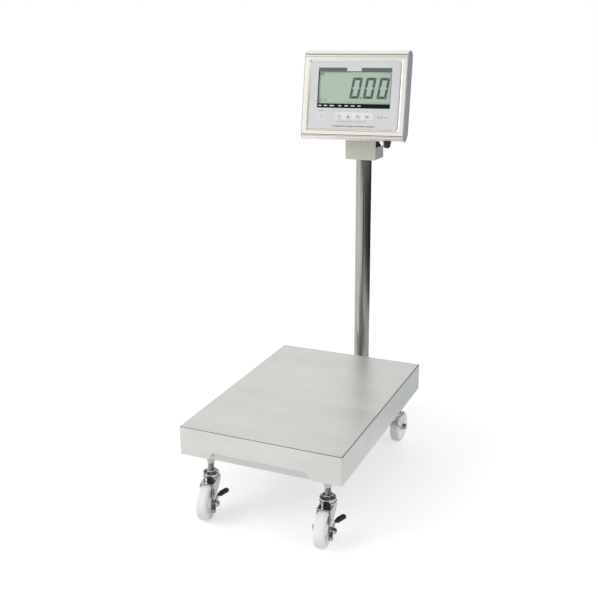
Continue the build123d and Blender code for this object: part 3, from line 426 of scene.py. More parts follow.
def in_head(tree):
    """Object coordinates turned into the head's own millimetres: across and up."""
    place = head_place().inverted()
    where = add_node(tree, "ShaderNodeTexCoord")
    mapping = add_node(
        tree, "ShaderNodeMapping",
        {"Location": place.to_translation(), "Rotation": place.to_euler(), "Scale": place.to_scale()},
    )
    tree.links.new(where.outputs["Object"], mapping.inputs["Vector"])
    parts = add_node(tree, "ShaderNodeSeparateXYZ")
    tree.links.new(mapping.outputs["Vector"], parts.inputs["Vector"])
    return parts.outputs["X"], parts.outputs["Z"]


def math_node(tree, operation, first, second=0.0):
    """One sum on a socket and a number or another socket."""
    made = add_node(tree, "ShaderNodeMath", operation=operation)
    for index, value in enumerate((first, second)):
        if isinstance(value, (int, float)):
            made.inputs[index].default_value = value
        else:
            tree.links.new(value, made.inputs[index])
    return made.outputs["Value"]


def field_mask(tree, across, up, centre, half, radius):
    """One inside a rounded rectangle of the head's face and nothing outside it."""
    outside = []
    for value, middle, reach in zip((across, up), centre, half):
        far = math_node(tree, "ABSOLUTE", math_node(tree, "SUBTRACT", value, middle))
        past = math_node(tree, "MAXIMUM", math_node(tree, "SUBTRACT", far, reach - radius), 0.0)
        outside.append(math_node(tree, "POWER", past, 2.0))
    distance = math_node(tree, "SQRT", math_node(tree, "ADD", *outside))
    return spread(tree, distance, 1.0, 0.0, radius - 0.3, radius + 0.3)


# Light fields printed round the keys: centre, half size and corner radius
KEY_FIELD = ((3.0, 43.6), (43.5, 8.0), 4.5)
POWER_FIELD = ((-75.0, 42.0), (9.0, 8.0), 4.0)
POWER_FIELD_STRENGTH = 0.6


def film_finish(name, rgb, field):
    """Printed film of the head: satin grey with the light fields round the keys."""
    material, tree, shader = new_finish(name)
    cloud = place_noise(tree, PLAIN, 11.0)
    across, up = in_head(tree)
    keys = field_mask(tree, across, up, *KEY_FIELD)
    power = math_node(tree, "MULTIPLY", field_mask(tree, across, up, *POWER_FIELD), POWER_FIELD_STRENGTH)
    mixed = add_node(tree, "ShaderNodeMix", data_type="RGBA")
    tree.links.new(math_node(tree, "MAXIMUM", keys, power), mixed.inputs["Factor"])
    tree.links.new(two_tones(tree, cloud, shade(rgb, 0.97), shade(rgb, 1.03)), mixed.inputs["A"])
    mixed.inputs["B"].default_value = shade(field, 1.0)
    tree.links.new(mixed.outputs["Result"], shader.inputs["Base Color"])
    tree.links.new(spread(tree, cloud, 0.36, 0.44), shader.inputs["Roughness"])
    add_bump(tree, shader, place_noise(tree, PLAIN, 700.0, detail=2.0), 0.03, RELIEF_DEPTH)
    return material


# Painted dark reflection along the bend of the platter: from and to, below its top, and its colour
BEND_LOW, BEND_HIGH = 0.0012, 0.0001
BEND_REFLECTION_COLOUR = (0.36, 0.33, 0.29)

# Moulded finishes by slot: name, colour and roughness
MOULDED = {
    "pad_rubber": ("pad_rubber", (0.02, 0.02, 0.02), (0.65, 0.8)),
    "boss_white": ("white_boss", (0.72, 0.72, 0.70), (0.35, 0.5)),
    "pedal_black": ("pedal_black", (0.018, 0.018, 0.018), (0.35, 0.5)),
    "black_plastic": ("black_plastic", (0.012, 0.012, 0.013), (0.35, 0.5)),
    "board_green": ("coated_board", (0.02, 0.14, 0.05), (0.3, 0.45)),
    "key_white": ("soft_white_key", (0.80, 0.80, 0.80), (0.4, 0.5)),
    "key_pink": ("soft_pink_key", (0.78, 0.70, 0.71), (0.4, 0.5)),
}


def make_finishes():
    """Every finish by the record's slot name."""
    colours = settings().scale_finish
    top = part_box("platter")[1].z
    finishes = {slot: moulded_finish(*facts) for slot, facts in MOULDED.items()}
    finishes.update({
        "platter_steel": brushed_finish(
            "satin_platter", colours.platter, (900, 14, 900), metallic=0.62, rough=(0.29, 0.37),
            contrast=0.06, relief=0.0, smear=(6, 17, 17),
            # dark band along the platter's top edge: painted reflection
            bend=(top - BEND_LOW, top - BEND_HIGH, BEND_REFLECTION_COLOUR),
        ),
        "frame_steel": brushed_finish("satin_frame", (0.54, 0.54, 0.53), (14, 900, 900), rough=(0.35, 0.5)),
        "cell_aluminium": brushed_finish("milled_cell", (0.68, 0.69, 0.70), (20, 700, 700)),
        "tube_steel": brushed_finish("polished_tube", colours.column, (900, 900, 10), rough=(0.21, 0.27)),
        "tray_steel": brushed_finish(
            "warm_tray", colours.tray, (30, 700, 700), metallic=0.4, rough=(0.38, 0.5)
        ),
        "housing_steel": brushed_finish(
            "satin_housing", colours.housing, (8, 900, 900), metallic=0.8, rough=(0.27, 0.29),
            contrast=0.015, relief=0.0,
        ),
        "side_grey": brushed_finish(
            "grey_side", colours.side, (500, 500, 30), metallic=0.3, rough=(0.36, 0.46)
        ),
        "zinc_fasteners": plated_finish("zinc_fasteners", (0.40, 0.39, 0.36), rough=(0.20, 0.34)),
        "caster_chrome": plated_finish("caster_chrome", (0.46, 0.46, 0.45)),
        "wheel_nylon": moulded_finish("white_nylon", colours.nylon, rough=(0.32, 0.45)),
        "panel_film": film_finish("printed_film", colours.panel, colours.key_field),
        "lens_clear": clear_finish("window_clear", (0.97, 0.98, 0.97)),
        "lcd_green": display_finish("display_glass", colours.lcd),
    })
    return finishes


class SCALE_OT_finishes(bpy.types.Operator):
    """Give every node of the frame its finish"""

    bl_idname = "scale.finishes"
    bl_label = "Finishes"

    def execute(self, context):
        made = make_finishes()
        slots = {part["node"]: part["material_slot"] for part in frame["record"]["subparts"]}
        for name, obj in frame["nodes"].items():
            obj.data.materials.clear()
            obj.data.materials.append(made[slots[name]])
        return {"FINISHED"}


# Places on the head, in its own millimetres

PIVOT_DEPTH = 133.06
PIVOT_HEIGHT = -6.60
DISPLAY_LEFT, DISPLAY_RIGHT = -85.0, 85.0
DISPLAY_LOW, DISPLAY_HIGH = 61.0, 151.0
GLASS_FACE = 5.0
FILM_FACE = 2.19
KEY_FACE = 1.79
KEY_ROW = 42.0
KEY_X = {"power": -75.0, "zero": -32.0, "tare": -10.0, "unit": 12.0, "print": 34.0}
HOUSING_WIDTH = 239.0
HOUSING_FACE = 175.0

# Digits: ink on the display glass, first digit's middle, foot of the digits and the decimal point

INK = (GLASS_FACE - 0.12, GLASS_FACE - 0.02)
DIGIT_COUNT = 3
FIRST_DIGIT = 0.4
DIGIT_BASE = 82.6
POINT_LEFT = 14.2
POINT_SIZE = 3.4
SEGMENTS = ("top", "bottom", "low_left", "low_right", "high_left", "high_right")
SEGMENT_GAP = 0.35

# Printed frame of the window: how far each band reaches in from the display's edges, and the light tab
BAND_LOW, BAND_HIGH = 9.8, 8.7
BAND_LEFT, BAND_RIGHT = 2.8, 1.0
PALE_LEFT, PALE_RIGHT = 3.2, 3.3
TAB_LEFT, TAB_RIGHT = -18.5, 15.0
TAB_HEIGHT = 7.6
BAND_THICKNESS = 0.06

# Light marks in the lower band: middle and width of each, their height over the edge and their ink
MARKS = ((-78, 7), (-65, 8), (-50, 11), (-31, 7), (-16, 8), (-1, 9), (14, 7))
MARK_LOW, MARK_HIGH = 3.9, 6.3
MARK_INK = (FILM_FACE - 0.1, FILM_FACE - 0.07)

# Small signs on the glass: bars of the battery outline, the arrow head and the pale block
BATTERY = (
    (-81.0, -74.0, 75.4, 75.9), (-81.0, -74.0, 79.5, 80.0), (-81.0, -80.5, 75.9, 79.5),
    (-74.5, -74.0, 75.9, 79.5), (-74.0, -73.2, 76.9, 78.5), (-79.8, -78.2, 76.6, 78.8),
)
ARROW_HEAD = [(-68.0, 79.0), (-64.0, 79.0), (-66.0, 75.8)]
PALE_BLOCK = (-81.5, -71.5, 134.0, 140.5)


def segment_outline(width, height, stroke, which):
    """Outline of one segment of a digit, mitred at both ends."""
    half, gap = stroke / 2, SEGMENT_GAP
    w, h = width / 2 - half, height / 2 - half
    if which in ("top", "bottom"):
        y = (2 * h if which == "top" else 0.0) + half
        inward = -half if which == "top" else half
        left, right = -w + gap, w - gap
        outer, inner = y - inward, y + inward
        return [(left - half, outer), (right + half, outer), (right - half, inner), (left + half, inner)]
    side = -1 if "left" in which else 1
    lower = "low" in which
    low = half if lower else h + half
    high = low + h
    outer, inner = side * (w + half), side * (w - half)
    middle_end, far_end = (high, low) if lower else (low, high)
    toward = 1 if lower else -1
    return [
        (outer, far_end - toward * (half - gap)),
        (inner, far_end + toward * (half + gap)),
        (inner, middle_end - toward * (half + gap)),
        (side * w, middle_end - toward * gap),
        (outer, middle_end - toward * gap),
    ]


class SCALE_OT_display(bpy.types.Operator):
    """Make the digits, the printed band and the small marks of the display"""

    bl_idname = "scale.display"
    bl_label = "Display"

    def execute(self, context):
        colours = settings().scale_finish
        ink = moulded_finish("display_ink", colours.digit, rough=(0.35, 0.45), contrast=0.06)
        white = moulded_finish("window_print", (0.72, 0.72, 0.72), rough=(0.3, 0.4))
        self.digits(ink)
        self.band(white, colours.lcd)
        self.marks(white)
        self.small_signs(ink)
        return {"FINISHED"}

    def digits(self, ink):
        """Three noughts with a decimal point after the first."""
        sizes = settings().scale_display
        lean = math.tan(sizes.slant)
        bm = bmesh.new()
        for index in range(DIGIT_COUNT):
            middle = FIRST_DIGIT + index * sizes.digit_pitch
            for which in SEGMENTS:
                outline = segment_outline(sizes.digit_width, sizes.digit_height, sizes.stroke, which)
                add_plate(bm, [(middle + x + lean * h, DIGIT_BASE + h) for x, h in outline], *INK)
        point = round_rectangle(0, POINT_SIZE, 0, POINT_SIZE, 0.6, 3)
        add_plate(bm, [(POINT_LEFT + x, DIGIT_BASE + h) for x, h in point], *INK)
        add_to_head("display_digits", bm, ink)

    def band(self, white, pale):
        """Printed frame on the face of the window, with its light tab and the pale edges of the display."""
        dark = moulded_finish("window_band", (0.006, 0.006, 0.007), rough=(0.3, 0.4), specular=0.12)
        grey = moulded_finish("window_top_band", (0.14, 0.145, 0.14), rough=(0.3, 0.4), specular=0.2)
        cell = moulded_finish("window_cell_print", pale, rough=(0.3, 0.4))
        left, right, bottom, top = DISPLAY_LEFT, DISPLAY_RIGHT, DISPLAY_LOW, DISPLAY_HIGH
        low, high = bottom + BAND_LOW, top - BAND_HIGH
        tab_low = top - TAB_HEIGHT
        layers = (
            ("window_band", dark, "black_plastic", (
                (left, right, bottom, low), (left, left + BAND_LEFT, low, high),
                (right - BAND_RIGHT, right, low, high),
            )),
            ("window_top_band", grey, "black_plastic", (
                (left, TAB_LEFT, high, top), (TAB_RIGHT, right, high, top),
                (TAB_LEFT, TAB_RIGHT, high, tab_low),
            )),
            ("window_tab", white, "key_white", ((TAB_LEFT, TAB_RIGHT, tab_low, top),)),
            ("window_edge", cell, "lcd_green", (
                (left + BAND_LEFT, left + PALE_LEFT, low, high),
                (right - PALE_RIGHT, right - BAND_RIGHT, low, high),
            )),
        )
        for name, finish, slot, patches in layers:
            bm = bmesh.new()
            for patch in patches:
                add_plate(bm, rectangle(*patch), FILM_FACE - BAND_THICKNESS, FILM_FACE)
            add_to_head(name, bm, finish)

    def marks(self, white):
        """Row of light marks in the lower band."""
        bm = bmesh.new()
        low, high = DISPLAY_LOW + MARK_LOW, DISPLAY_LOW + MARK_HIGH
        for middle, width in MARKS:
            mark = round_rectangle(middle - width / 2, middle + width / 2, low, high, 0.8, 2)
            add_plate(bm, mark, *MARK_INK)
        add_to_head("window_marks", bm, white)

    def small_signs(self, ink):
        """Plain signs on the display glass: a battery outline, an arrow head and a faint block."""
        signs = bmesh.new()
        for bar in BATTERY:
            add_plate(signs, rectangle(*bar), *INK)
        add_plate(signs, ARROW_HEAD, *INK)
        add_to_head("display_signs", signs, ink)
        pale = moulded_finish("display_pale_ink", (0.27, 0.27, 0.21), rough=(0.35, 0.45))
        block = bmesh.new()
        add_plate(block, round_rectangle(*PALE_BLOCK, 0.8, 3), *INK)
        add_to_head("display_block", block, pale)


# Print of the panel

PRINT_THICKNESS = 0.08

# Rows of dashes: number, first place, pitch, length, short length, how often a short one comes, heights
DASH_ROWS = (
    (11, -34.0, 6.0, 4.2, 3.0, 3, 30.2, 31.2),
    (16, -47.0, 6.2, 5.2, 3.6, 4, 19.2, 21.6),
)

# Dashes over the keys: key, half length and heights
KEY_DASHES = [(key, 1.6, 54.0, 54.9) for key in ("zero", "tare", "unit", "print")]
KEY_DASHES += [("power", 5.0, 53.6, 54.6)]

# Small signs to the right of the keys
SIDE_SIGNS = (
    rectangle(59.0, 63.0, 40.6, 42.6),
    [(66.5, 40.4), (70.5, 40.4), (68.5, 43.8)],
    rectangle(73.5, 79.5, 40.8, 41.8),
)


class SCALE_OT_print(bpy.types.Operator):
    """Print the plain signs of the keys and the fine rows of the panel"""

    bl_idname = "scale.print_signs"
    bl_label = "Panel print"

    def execute(self, context):
        grey = moulded_finish("key_print_grey", (0.12, 0.12, 0.135))
        red = moulded_finish("key_print_red", (0.62, 0.43, 0.43))
        signs = {
            "power": self.power, "zero": self.zero, "tare": self.tare, "unit": self.unit,
            "print": self.printing,
        }
        for name, draw in signs.items():
            bm = bmesh.new()
            draw(bm, KEY_X[name])
            finish, slot = (red, "key_pink") if name == "power" else (grey, "black_plastic")
            add_to_head("sign_" + name, bm, finish, "key_" + name)
        self.rows()
        return {"FINISHED"}

    def power(self, bm, x):
        """Ring with a bar through its top."""
        self.ring(bm, x, KEY_ROW - 0.3, 2.4, 3.2)
        self.bar(bm, x - 0.4, x + 0.4, KEY_ROW, KEY_ROW + 3.8, KEY_FACE - 0.02)

    def zero(self, bm, x):
        """Ring with a dash beside it."""
        self.ring(bm, x, KEY_ROW, 1.9, 2.6)
        self.bar(bm, x + 2.9, x + 4.6, KEY_ROW - 0.35, KEY_ROW + 0.35)

    def tare(self, bm, x):
        """Triangle."""
        self.patch(bm, [(x - 3.0, KEY_ROW - 2.4), (x + 3.0, KEY_ROW - 2.4), (x, KEY_ROW + 3.0)], KEY_FACE)

    def unit(self, bm, x):
        """Arrow between two bars."""
        self.patch(bm, [(x - 1.7, KEY_ROW), (x + 1.7, KEY_ROW), (x, KEY_ROW + 2.8)], KEY_FACE)
        self.bar(bm, x - 0.45, x + 0.45, KEY_ROW - 2.6, KEY_ROW)
        for away in (-3.4, 3.4):
            self.bar(bm, x + away - 0.35, x + away + 0.35, KEY_ROW - 2.4, KEY_ROW + 2.4)

    def printing(self, bm, x):
        """Ring between two dashes."""
        self.ring(bm, x, KEY_ROW, 0.9, 2.2)
        for away in (-3.7, 3.7):
            self.bar(bm, x + away - 1.2, x + away + 1.2, KEY_ROW - 0.35, KEY_ROW + 0.35)

    def ring(self, bm, x, h, inner, outer):
        """Flat ring on a key."""
        outline = [(inner, -PRINT_THICKNESS), (outer, -PRINT_THICKNESS), (outer, 0.0), (inner, 0.0)]
        add_turned(bm, outline, (x, KEY_FACE, h), (0, 1, 0), 24)

    def bar(self, bm, x0, x1, h0, h1, face=KEY_FACE):
        """Flat bar on a key or on the film."""
        self.patch(bm, rectangle(x0, x1, h0, h1), face)

    def patch(self, bm, outline, face):
        """Flat patch of ink in front of a face."""
        add_plate(bm, outline, face - PRINT_THICKNESS, face)

    def rows(self):
        """Fine dashes and small marks printed on the film."""
        fine = moulded_finish("fine_print_grey", (0.20, 0.20, 0.22))
        bm = bmesh.new()
        for count, first, pitch, usual, short, every, low, high in DASH_ROWS:
            for index in range(count):
                start = first + index * pitch
                self.bar(bm, start, start + (usual if index % every else short), low, high, FILM_FACE)
        for key, half, low, high in KEY_DASHES:
            self.bar(bm, KEY_X[key] - half, KEY_X[key] + half, low, high, FILM_FACE)
        for outline in SIDE_SIGNS:
            self.patch(bm, outline, FILM_FACE)
        add_to_head("fine_print", bm, fine)


# Cover screws, with half sizes and depths of their cross slots, which are painted shade, then gland, folds and the
# tray's dark plates of painted shade

SCREW_X = (-96.0, 0.0, 96.0)
SCREW_HEIGHTS = (15.5, 171.0)
RECESS_SLOTS = ((2.0, 0.45, 60.92, 61.04), (0.45, 2.0, 60.93, 61.05))
GLAND_PLACE = (79.0, 25.5, -9.0)
GLAND_RIBS = 14
# Heights of the painted shade strips in the folds, and their inset from the ends
FOLDS = ((0.05, 1.35), (HOUSING_FACE - 0.9, HOUSING_FACE - 0.05))
FOLD_INSET = 1.2
TRAY_SIDE = 29.5
# Outline and thickness of the black plates of painted shade in the tray's sides
SHADE_PLATE_OUTLINE = ((0.0, 0.0), (42.0, 0.0), (40.0, 3.0), (26.0, 13.0), (0.0, 16.0))
SHADE_PLATE_THICKNESS = 2.2


class SCALE_OT_head_trim(bpy.types.Operator):
    """Make the painted shade of the screw recesses, the ribs of the gland, the painted shade lines in the folds
    and the dark plates of painted shade in the low sides of the tray
    """

    bl_idname = "scale.head_trim"
    bl_label = "Head trim"

    def execute(self, context):
        black = moulded_finish("gland_ribs", (0.015, 0.015, 0.016))
        self.recesses()
        self.ribs(black)
        # dark strips in the folds: painted shade and dark reflection
        self.fold_lines()
        # black plates in the tray's low sides: painted shade
        self.tray_lips(black)
        return {"FINISHED"}

    def recesses(self):
        """Cross recesses in the cover's screws, as thin dark patches: painted shade of the recesses."""
        # dark colour of the recesses: painted shade
        dark = moulded_finish("screw_recess", (0.03, 0.03, 0.03), rough=(0.5, 0.6))
        bm = bmesh.new()
        for x in SCREW_X:
            for h in SCREW_HEIGHTS:
                for across, up, front, back in RECESS_SLOTS:
                    add_box(bm, (x - across, front, h - up), (x + across, back, h + up))
        add_to_head("cover_screw_recesses", bm, dark)

    def ribs(self, black):
        """Grip ribs round the nut of the cable gland."""
        bm = bmesh.new()
        for index in range(GLAND_RIBS):
            before = set(bm.verts)
            add_box(bm, (7.35, -0.7, -10.6), (8.0, 0.7, -5.3), 0.2, 1)
            verts = [vert for vert in bm.verts if vert not in before]
            turn = Matrix.Rotation(math.tau * index / GLAND_RIBS, 3, "Z")
            bmesh.ops.rotate(bm, cent=(0, 0, 0), matrix=turn, verts=verts)
            bmesh.ops.translate(bm, vec=GLAND_PLACE, verts=verts)
        add_to_head("gland_ribs", bm, black)

    def fold_lines(self):
        """Dark strips in the two folds of the housing's face: painted shade and dark reflection of the folds."""
        painted_shade = moulded_finish("fold_sealer", (0.075, 0.065, 0.05), rough=(0.35, 0.5))
        half = HOUSING_WIDTH / 2 - FOLD_INSET
        bm = bmesh.new()
        for low, high in FOLDS:
            add_plate(bm, rectangle(-half, half, low, high), -0.35, -0.02)
        add_to_head("housing_fold_lines", bm, painted_shade)

    def tray_lips(self, black):
        """Black plates in the low sides of the tray: painted shade of the tray's dark inside."""
        low, high = (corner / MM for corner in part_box("head_tray"))
        front, foot = low.y + 2.3, low.z + TRAY_SIDE + 0.05
        outline = [(front + back, foot + up) for back, up in SHADE_PLATE_OUTLINE]
        place = axes_place(Vector((0, 0, 0)), Vector((0, 1, 0)), Vector((1, 0, 0)), Vector((0, 0, 1)))
        for name, x in (("right", high.x - 2.6), ("left", low.x + 0.4)):
            bm = bmesh.new()
            add_plate(bm, outline, x, x + SHADE_PLATE_THICKNESS)
            round_edges(bm, list(bm.edges), 0.4, 2)
            add_piece("tray_lip_" + name, bm, black, "base", place)


# Pieces on the casters: outlines of (radius, height) on the stem, in millimetres

THREAD_LOW, THREAD_HIGH = 96.6, 113.9
THREAD_CORE = 5.9
THREAD_RIDGE = ((6.02, 0.15), (6.5, 0.7), (6.5, 1.0), (6.02, 1.55))
RACE_SEAL = [(17.03, 82.0), (17.35, 82.0), (17.5, 82.4), (17.5, 83.2), (17.35, 83.6), (17.03, 83.6)]
BOSS_BEAD = [(9.3, 140.95), (9.3, 138.0), (10.4, 138.6), (11.4, 139.8), (11.7, 140.95)]

# Brass shoe: its place, and points of (beyond its radius, across the wheel)
SHOE_PLACE = (0, -46.0, 27.0)
SHOE_INSIDE = ((0.02, 15.6), (0.5, 15.6), (0.8, 16.0), (0.8, 18.6), (0.5, 19.1), (0.02, 19.1))
SHOE_OUTSIDE = ((-0.3, 21.35), (0.1, 21.7), (-0.1, 22.3), (-2.0, 22.9))
SHOE_MIDDLE_LOW, SHOE_MIDDLE_HIGH = 21.35, 23.1

# Ribs of the pedal: its long way, about upward, a place on it, the ribs along it, their size and their lift
PEDAL_ALONG = (15.0, 20.0, 4.5)
PEDAL_UP = (-2.4, -3.2, 22.0)
PEDAL_PLACE = (28.0, -10.5, 50.0)
PEDAL_RIBS = (-5.0, -2.0, 1.0, 4.0, 7.0)
PEDAL_RIB_SIZE = (1.0, 7.4, 0.7)
PEDAL_RIB_LIFT = 4.1


class SCALE_OT_casters(bpy.types.Operator):
    """Make the threads, seals, welds, brass shoes and pedal ribs of the casters"""

    bl_idname = "scale.casters"
    bl_label = "Casters"

    def execute(self, context):
        sizes = settings().scale_caster
        steel = plated_finish("thread_steel", (0.33, 0.325, 0.30), rough=(0.25, 0.38))
        seal = moulded_finish("race_seal", (0.02, 0.02, 0.02))
        brass = plated_finish("brass_shoe", settings().scale_finish.brass, rough=(0.28, 0.42))
        rib = moulded_finish("pedal_ribs", (0.02, 0.02, 0.02), rough=(0.35, 0.5))
        bead = moulded_finish("weld_bead", (0.50, 0.50, 0.48), rough=(0.3, 0.45))
        for name in CASTERS:
            place = caster_place(name)
            self.thread(name, sizes.thread_pitch, steel, place)
            turned_piece("race_seal_" + name, RACE_SEAL, 40, seal, "caster_" + name, place)
            turned_piece("boss_weld_" + name, BOSS_BEAD, 32, bead, "base", place)
            if name in BRAKED:
                self.shoe(name, sizes.shoe_radius, brass, place)
                self.pedal_ribs(name, rib, place)
        return {"FINISHED"}

    def thread(self, name, pitch, steel, place):
        """Ridges of the stem between its nut and its boss."""
        outline = [(THREAD_CORE, THREAD_LOW)]
        z = THREAD_LOW
        while z + pitch < THREAD_HIGH:
            outline += [(radius, z + up) for radius, up in THREAD_RIDGE]
            z += pitch
        outline += [(THREAD_CORE, z)]
        piece = "stem_thread_" + name
        turned_piece(piece, outline, 32, steel, "base", place, closed=False)

    def shoe(self, name, radius, brass, place):
        """Round brass shoe at the lever's lower end, inside and outside of its sheet."""
        inside = [(radius + beyond, out) for beyond, out in SHOE_INSIDE]
        outside = [(radius + beyond, out) for beyond, out in SHOE_OUTSIDE]
        outside = [(0.0, SHOE_MIDDLE_LOW)] + outside + [(0.0, SHOE_MIDDLE_HIGH)]
        bm = bmesh.new()
        add_turned(bm, inside, SHOE_PLACE, (1, 0, 0))
        add_turned(bm, outside, SHOE_PLACE, (1, 0, 0), closed=False)
        add_piece("brass_shoe_" + name, bm, brass, "brake_" + name, place, smooth=True)

    def pedal_ribs(self, name, rib, place):
        """Cross ribs on the pedal's soft cap."""
        bm = bmesh.new()
        along = Vector(PEDAL_ALONG).normalized()
        up = Vector(PEDAL_UP)
        up = (up - along * up.dot(along)).normalized()
        side = up.cross(along)
        turn = Matrix((along, side, up)).transposed()
        for offset in PEDAL_RIBS:
            verts = bmesh.ops.create_cube(bm, size=1.0)["verts"]
            bmesh.ops.scale(bm, vec=PEDAL_RIB_SIZE, verts=verts)
            bmesh.ops.rotate(bm, cent=(0, 0, 0), matrix=turn, verts=verts)
            middle = Vector(PEDAL_PLACE) + along * offset + up * PEDAL_RIB_LIFT
            bmesh.ops.translate(bm, vec=middle, verts=verts)
        round_edges(bm, list(bm.edges), 0.25, 2)
        add_piece("pedal_ribs_" + name, bm, rib, "brake_" + name, place)


# Weld beads of the column, as (out from the tube, up from its end), in millimetres

FOOT_BEAD = ((0.02, 0.05), (2.2, 0.05), (1.9, 1.1), (1.0, 2.0), (0.02, 2.5))
TOP_BEAD = ((0.02, -0.05), (0.02, -2.2), (0.9, -1.7), (1.6, -0.9), (1.8, -0.05))


class SCALE_OT_column_trim(bpy.types.Operator):
    """Make the weld beads at both ends of the column"""

    bl_idname = "scale.column_trim"
    bl_label = "Column trim"

    def execute(self, context):
        bead = plated_finish("column_weld", (0.42, 0.40, 0.36), rough=(0.25, 0.4), relief=0.3)
        low, high = (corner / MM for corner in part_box("column"))
        middle = ((low.x + high.x) / 2, (low.y + high.y) / 2, 0)
        tube = (high.x - low.x) / 2
        ends = (("column_foot_weld", low.z, FOOT_BEAD), ("column_top_weld", high.z, TOP_BEAD))
        for name, end, section in ends:
            outline = [(tube + out, end + up) for out, up in section]
            turned_piece(name, outline, 64, bead, "base", node_place(), middle)
        return {"FINISHED"}


# Lamps: name, place, size, setting of the strength and tint

LAMPS = (
    ("key_lamp", (-2.0, -1.7, 1.8), 1.8, "key_power", (1.0, 0.99, 0.96)),
    ("fill_lamp", (2.2, -0.6, 1.5), 1.6, "fill_power", (0.82, 0.91, 1.0)),
)
LAMP_AIM = Vector((0, 0, 0.45))

# Cards: name, profile of (radius, height) in metres, turn in degrees and setting of the tone
ARCH_RADIUS = 3.2
ARCH_ANGLES = range(48, 81, 6)
ARCH = [
    (ARCH_RADIUS * math.cos(math.radians(angle)), ARCH_RADIUS * math.sin(math.radians(angle)))
    for angle in ARCH_ANGLES
]
CARDS = (
    ("side_card", [(1.15, 0.02), (1.15, 0.60)], (-40.0, 50.0), "card_tone"),
    ("rear_card", [(1.15, 0.02), (1.15, 1.25)], (50.0, 90.0), "card_tone"),
    ("upper_card", [(1.15, 0.86), (1.15, 1.30)], (-35.0, 50.0), "card_tone"),
    ("left_card", [(1.15, 0.80), (1.15, 1.30)], (150.0, 205.0), "card_tone"),
    ("near_card", [(0.86, 0.0), (0.86, 0.80)], (-76.0, -40.0), "near_card_tone"),
    ("floor_card", [(0.40, 0.003), (1.6, 0.003)], (-25.0, 100.0), "floor_card_tone"),
    ("front_card", ARCH, (-150.0, 10.0), "card_tone"),
    ("low_card", [(1.0, 0.42), (1.0, 0.78)], (-128.0, -76.0), "card_tone"),
)
CARD_STEPS = 24

# Floor, in metres: half its side, and where its added white starts and stops growing toward the far value
FLOOR_HALF = 6.0
LIFT_NEAR, LIFT_FAR = 0.7, 2.6
FAR_LIFT = 0.54


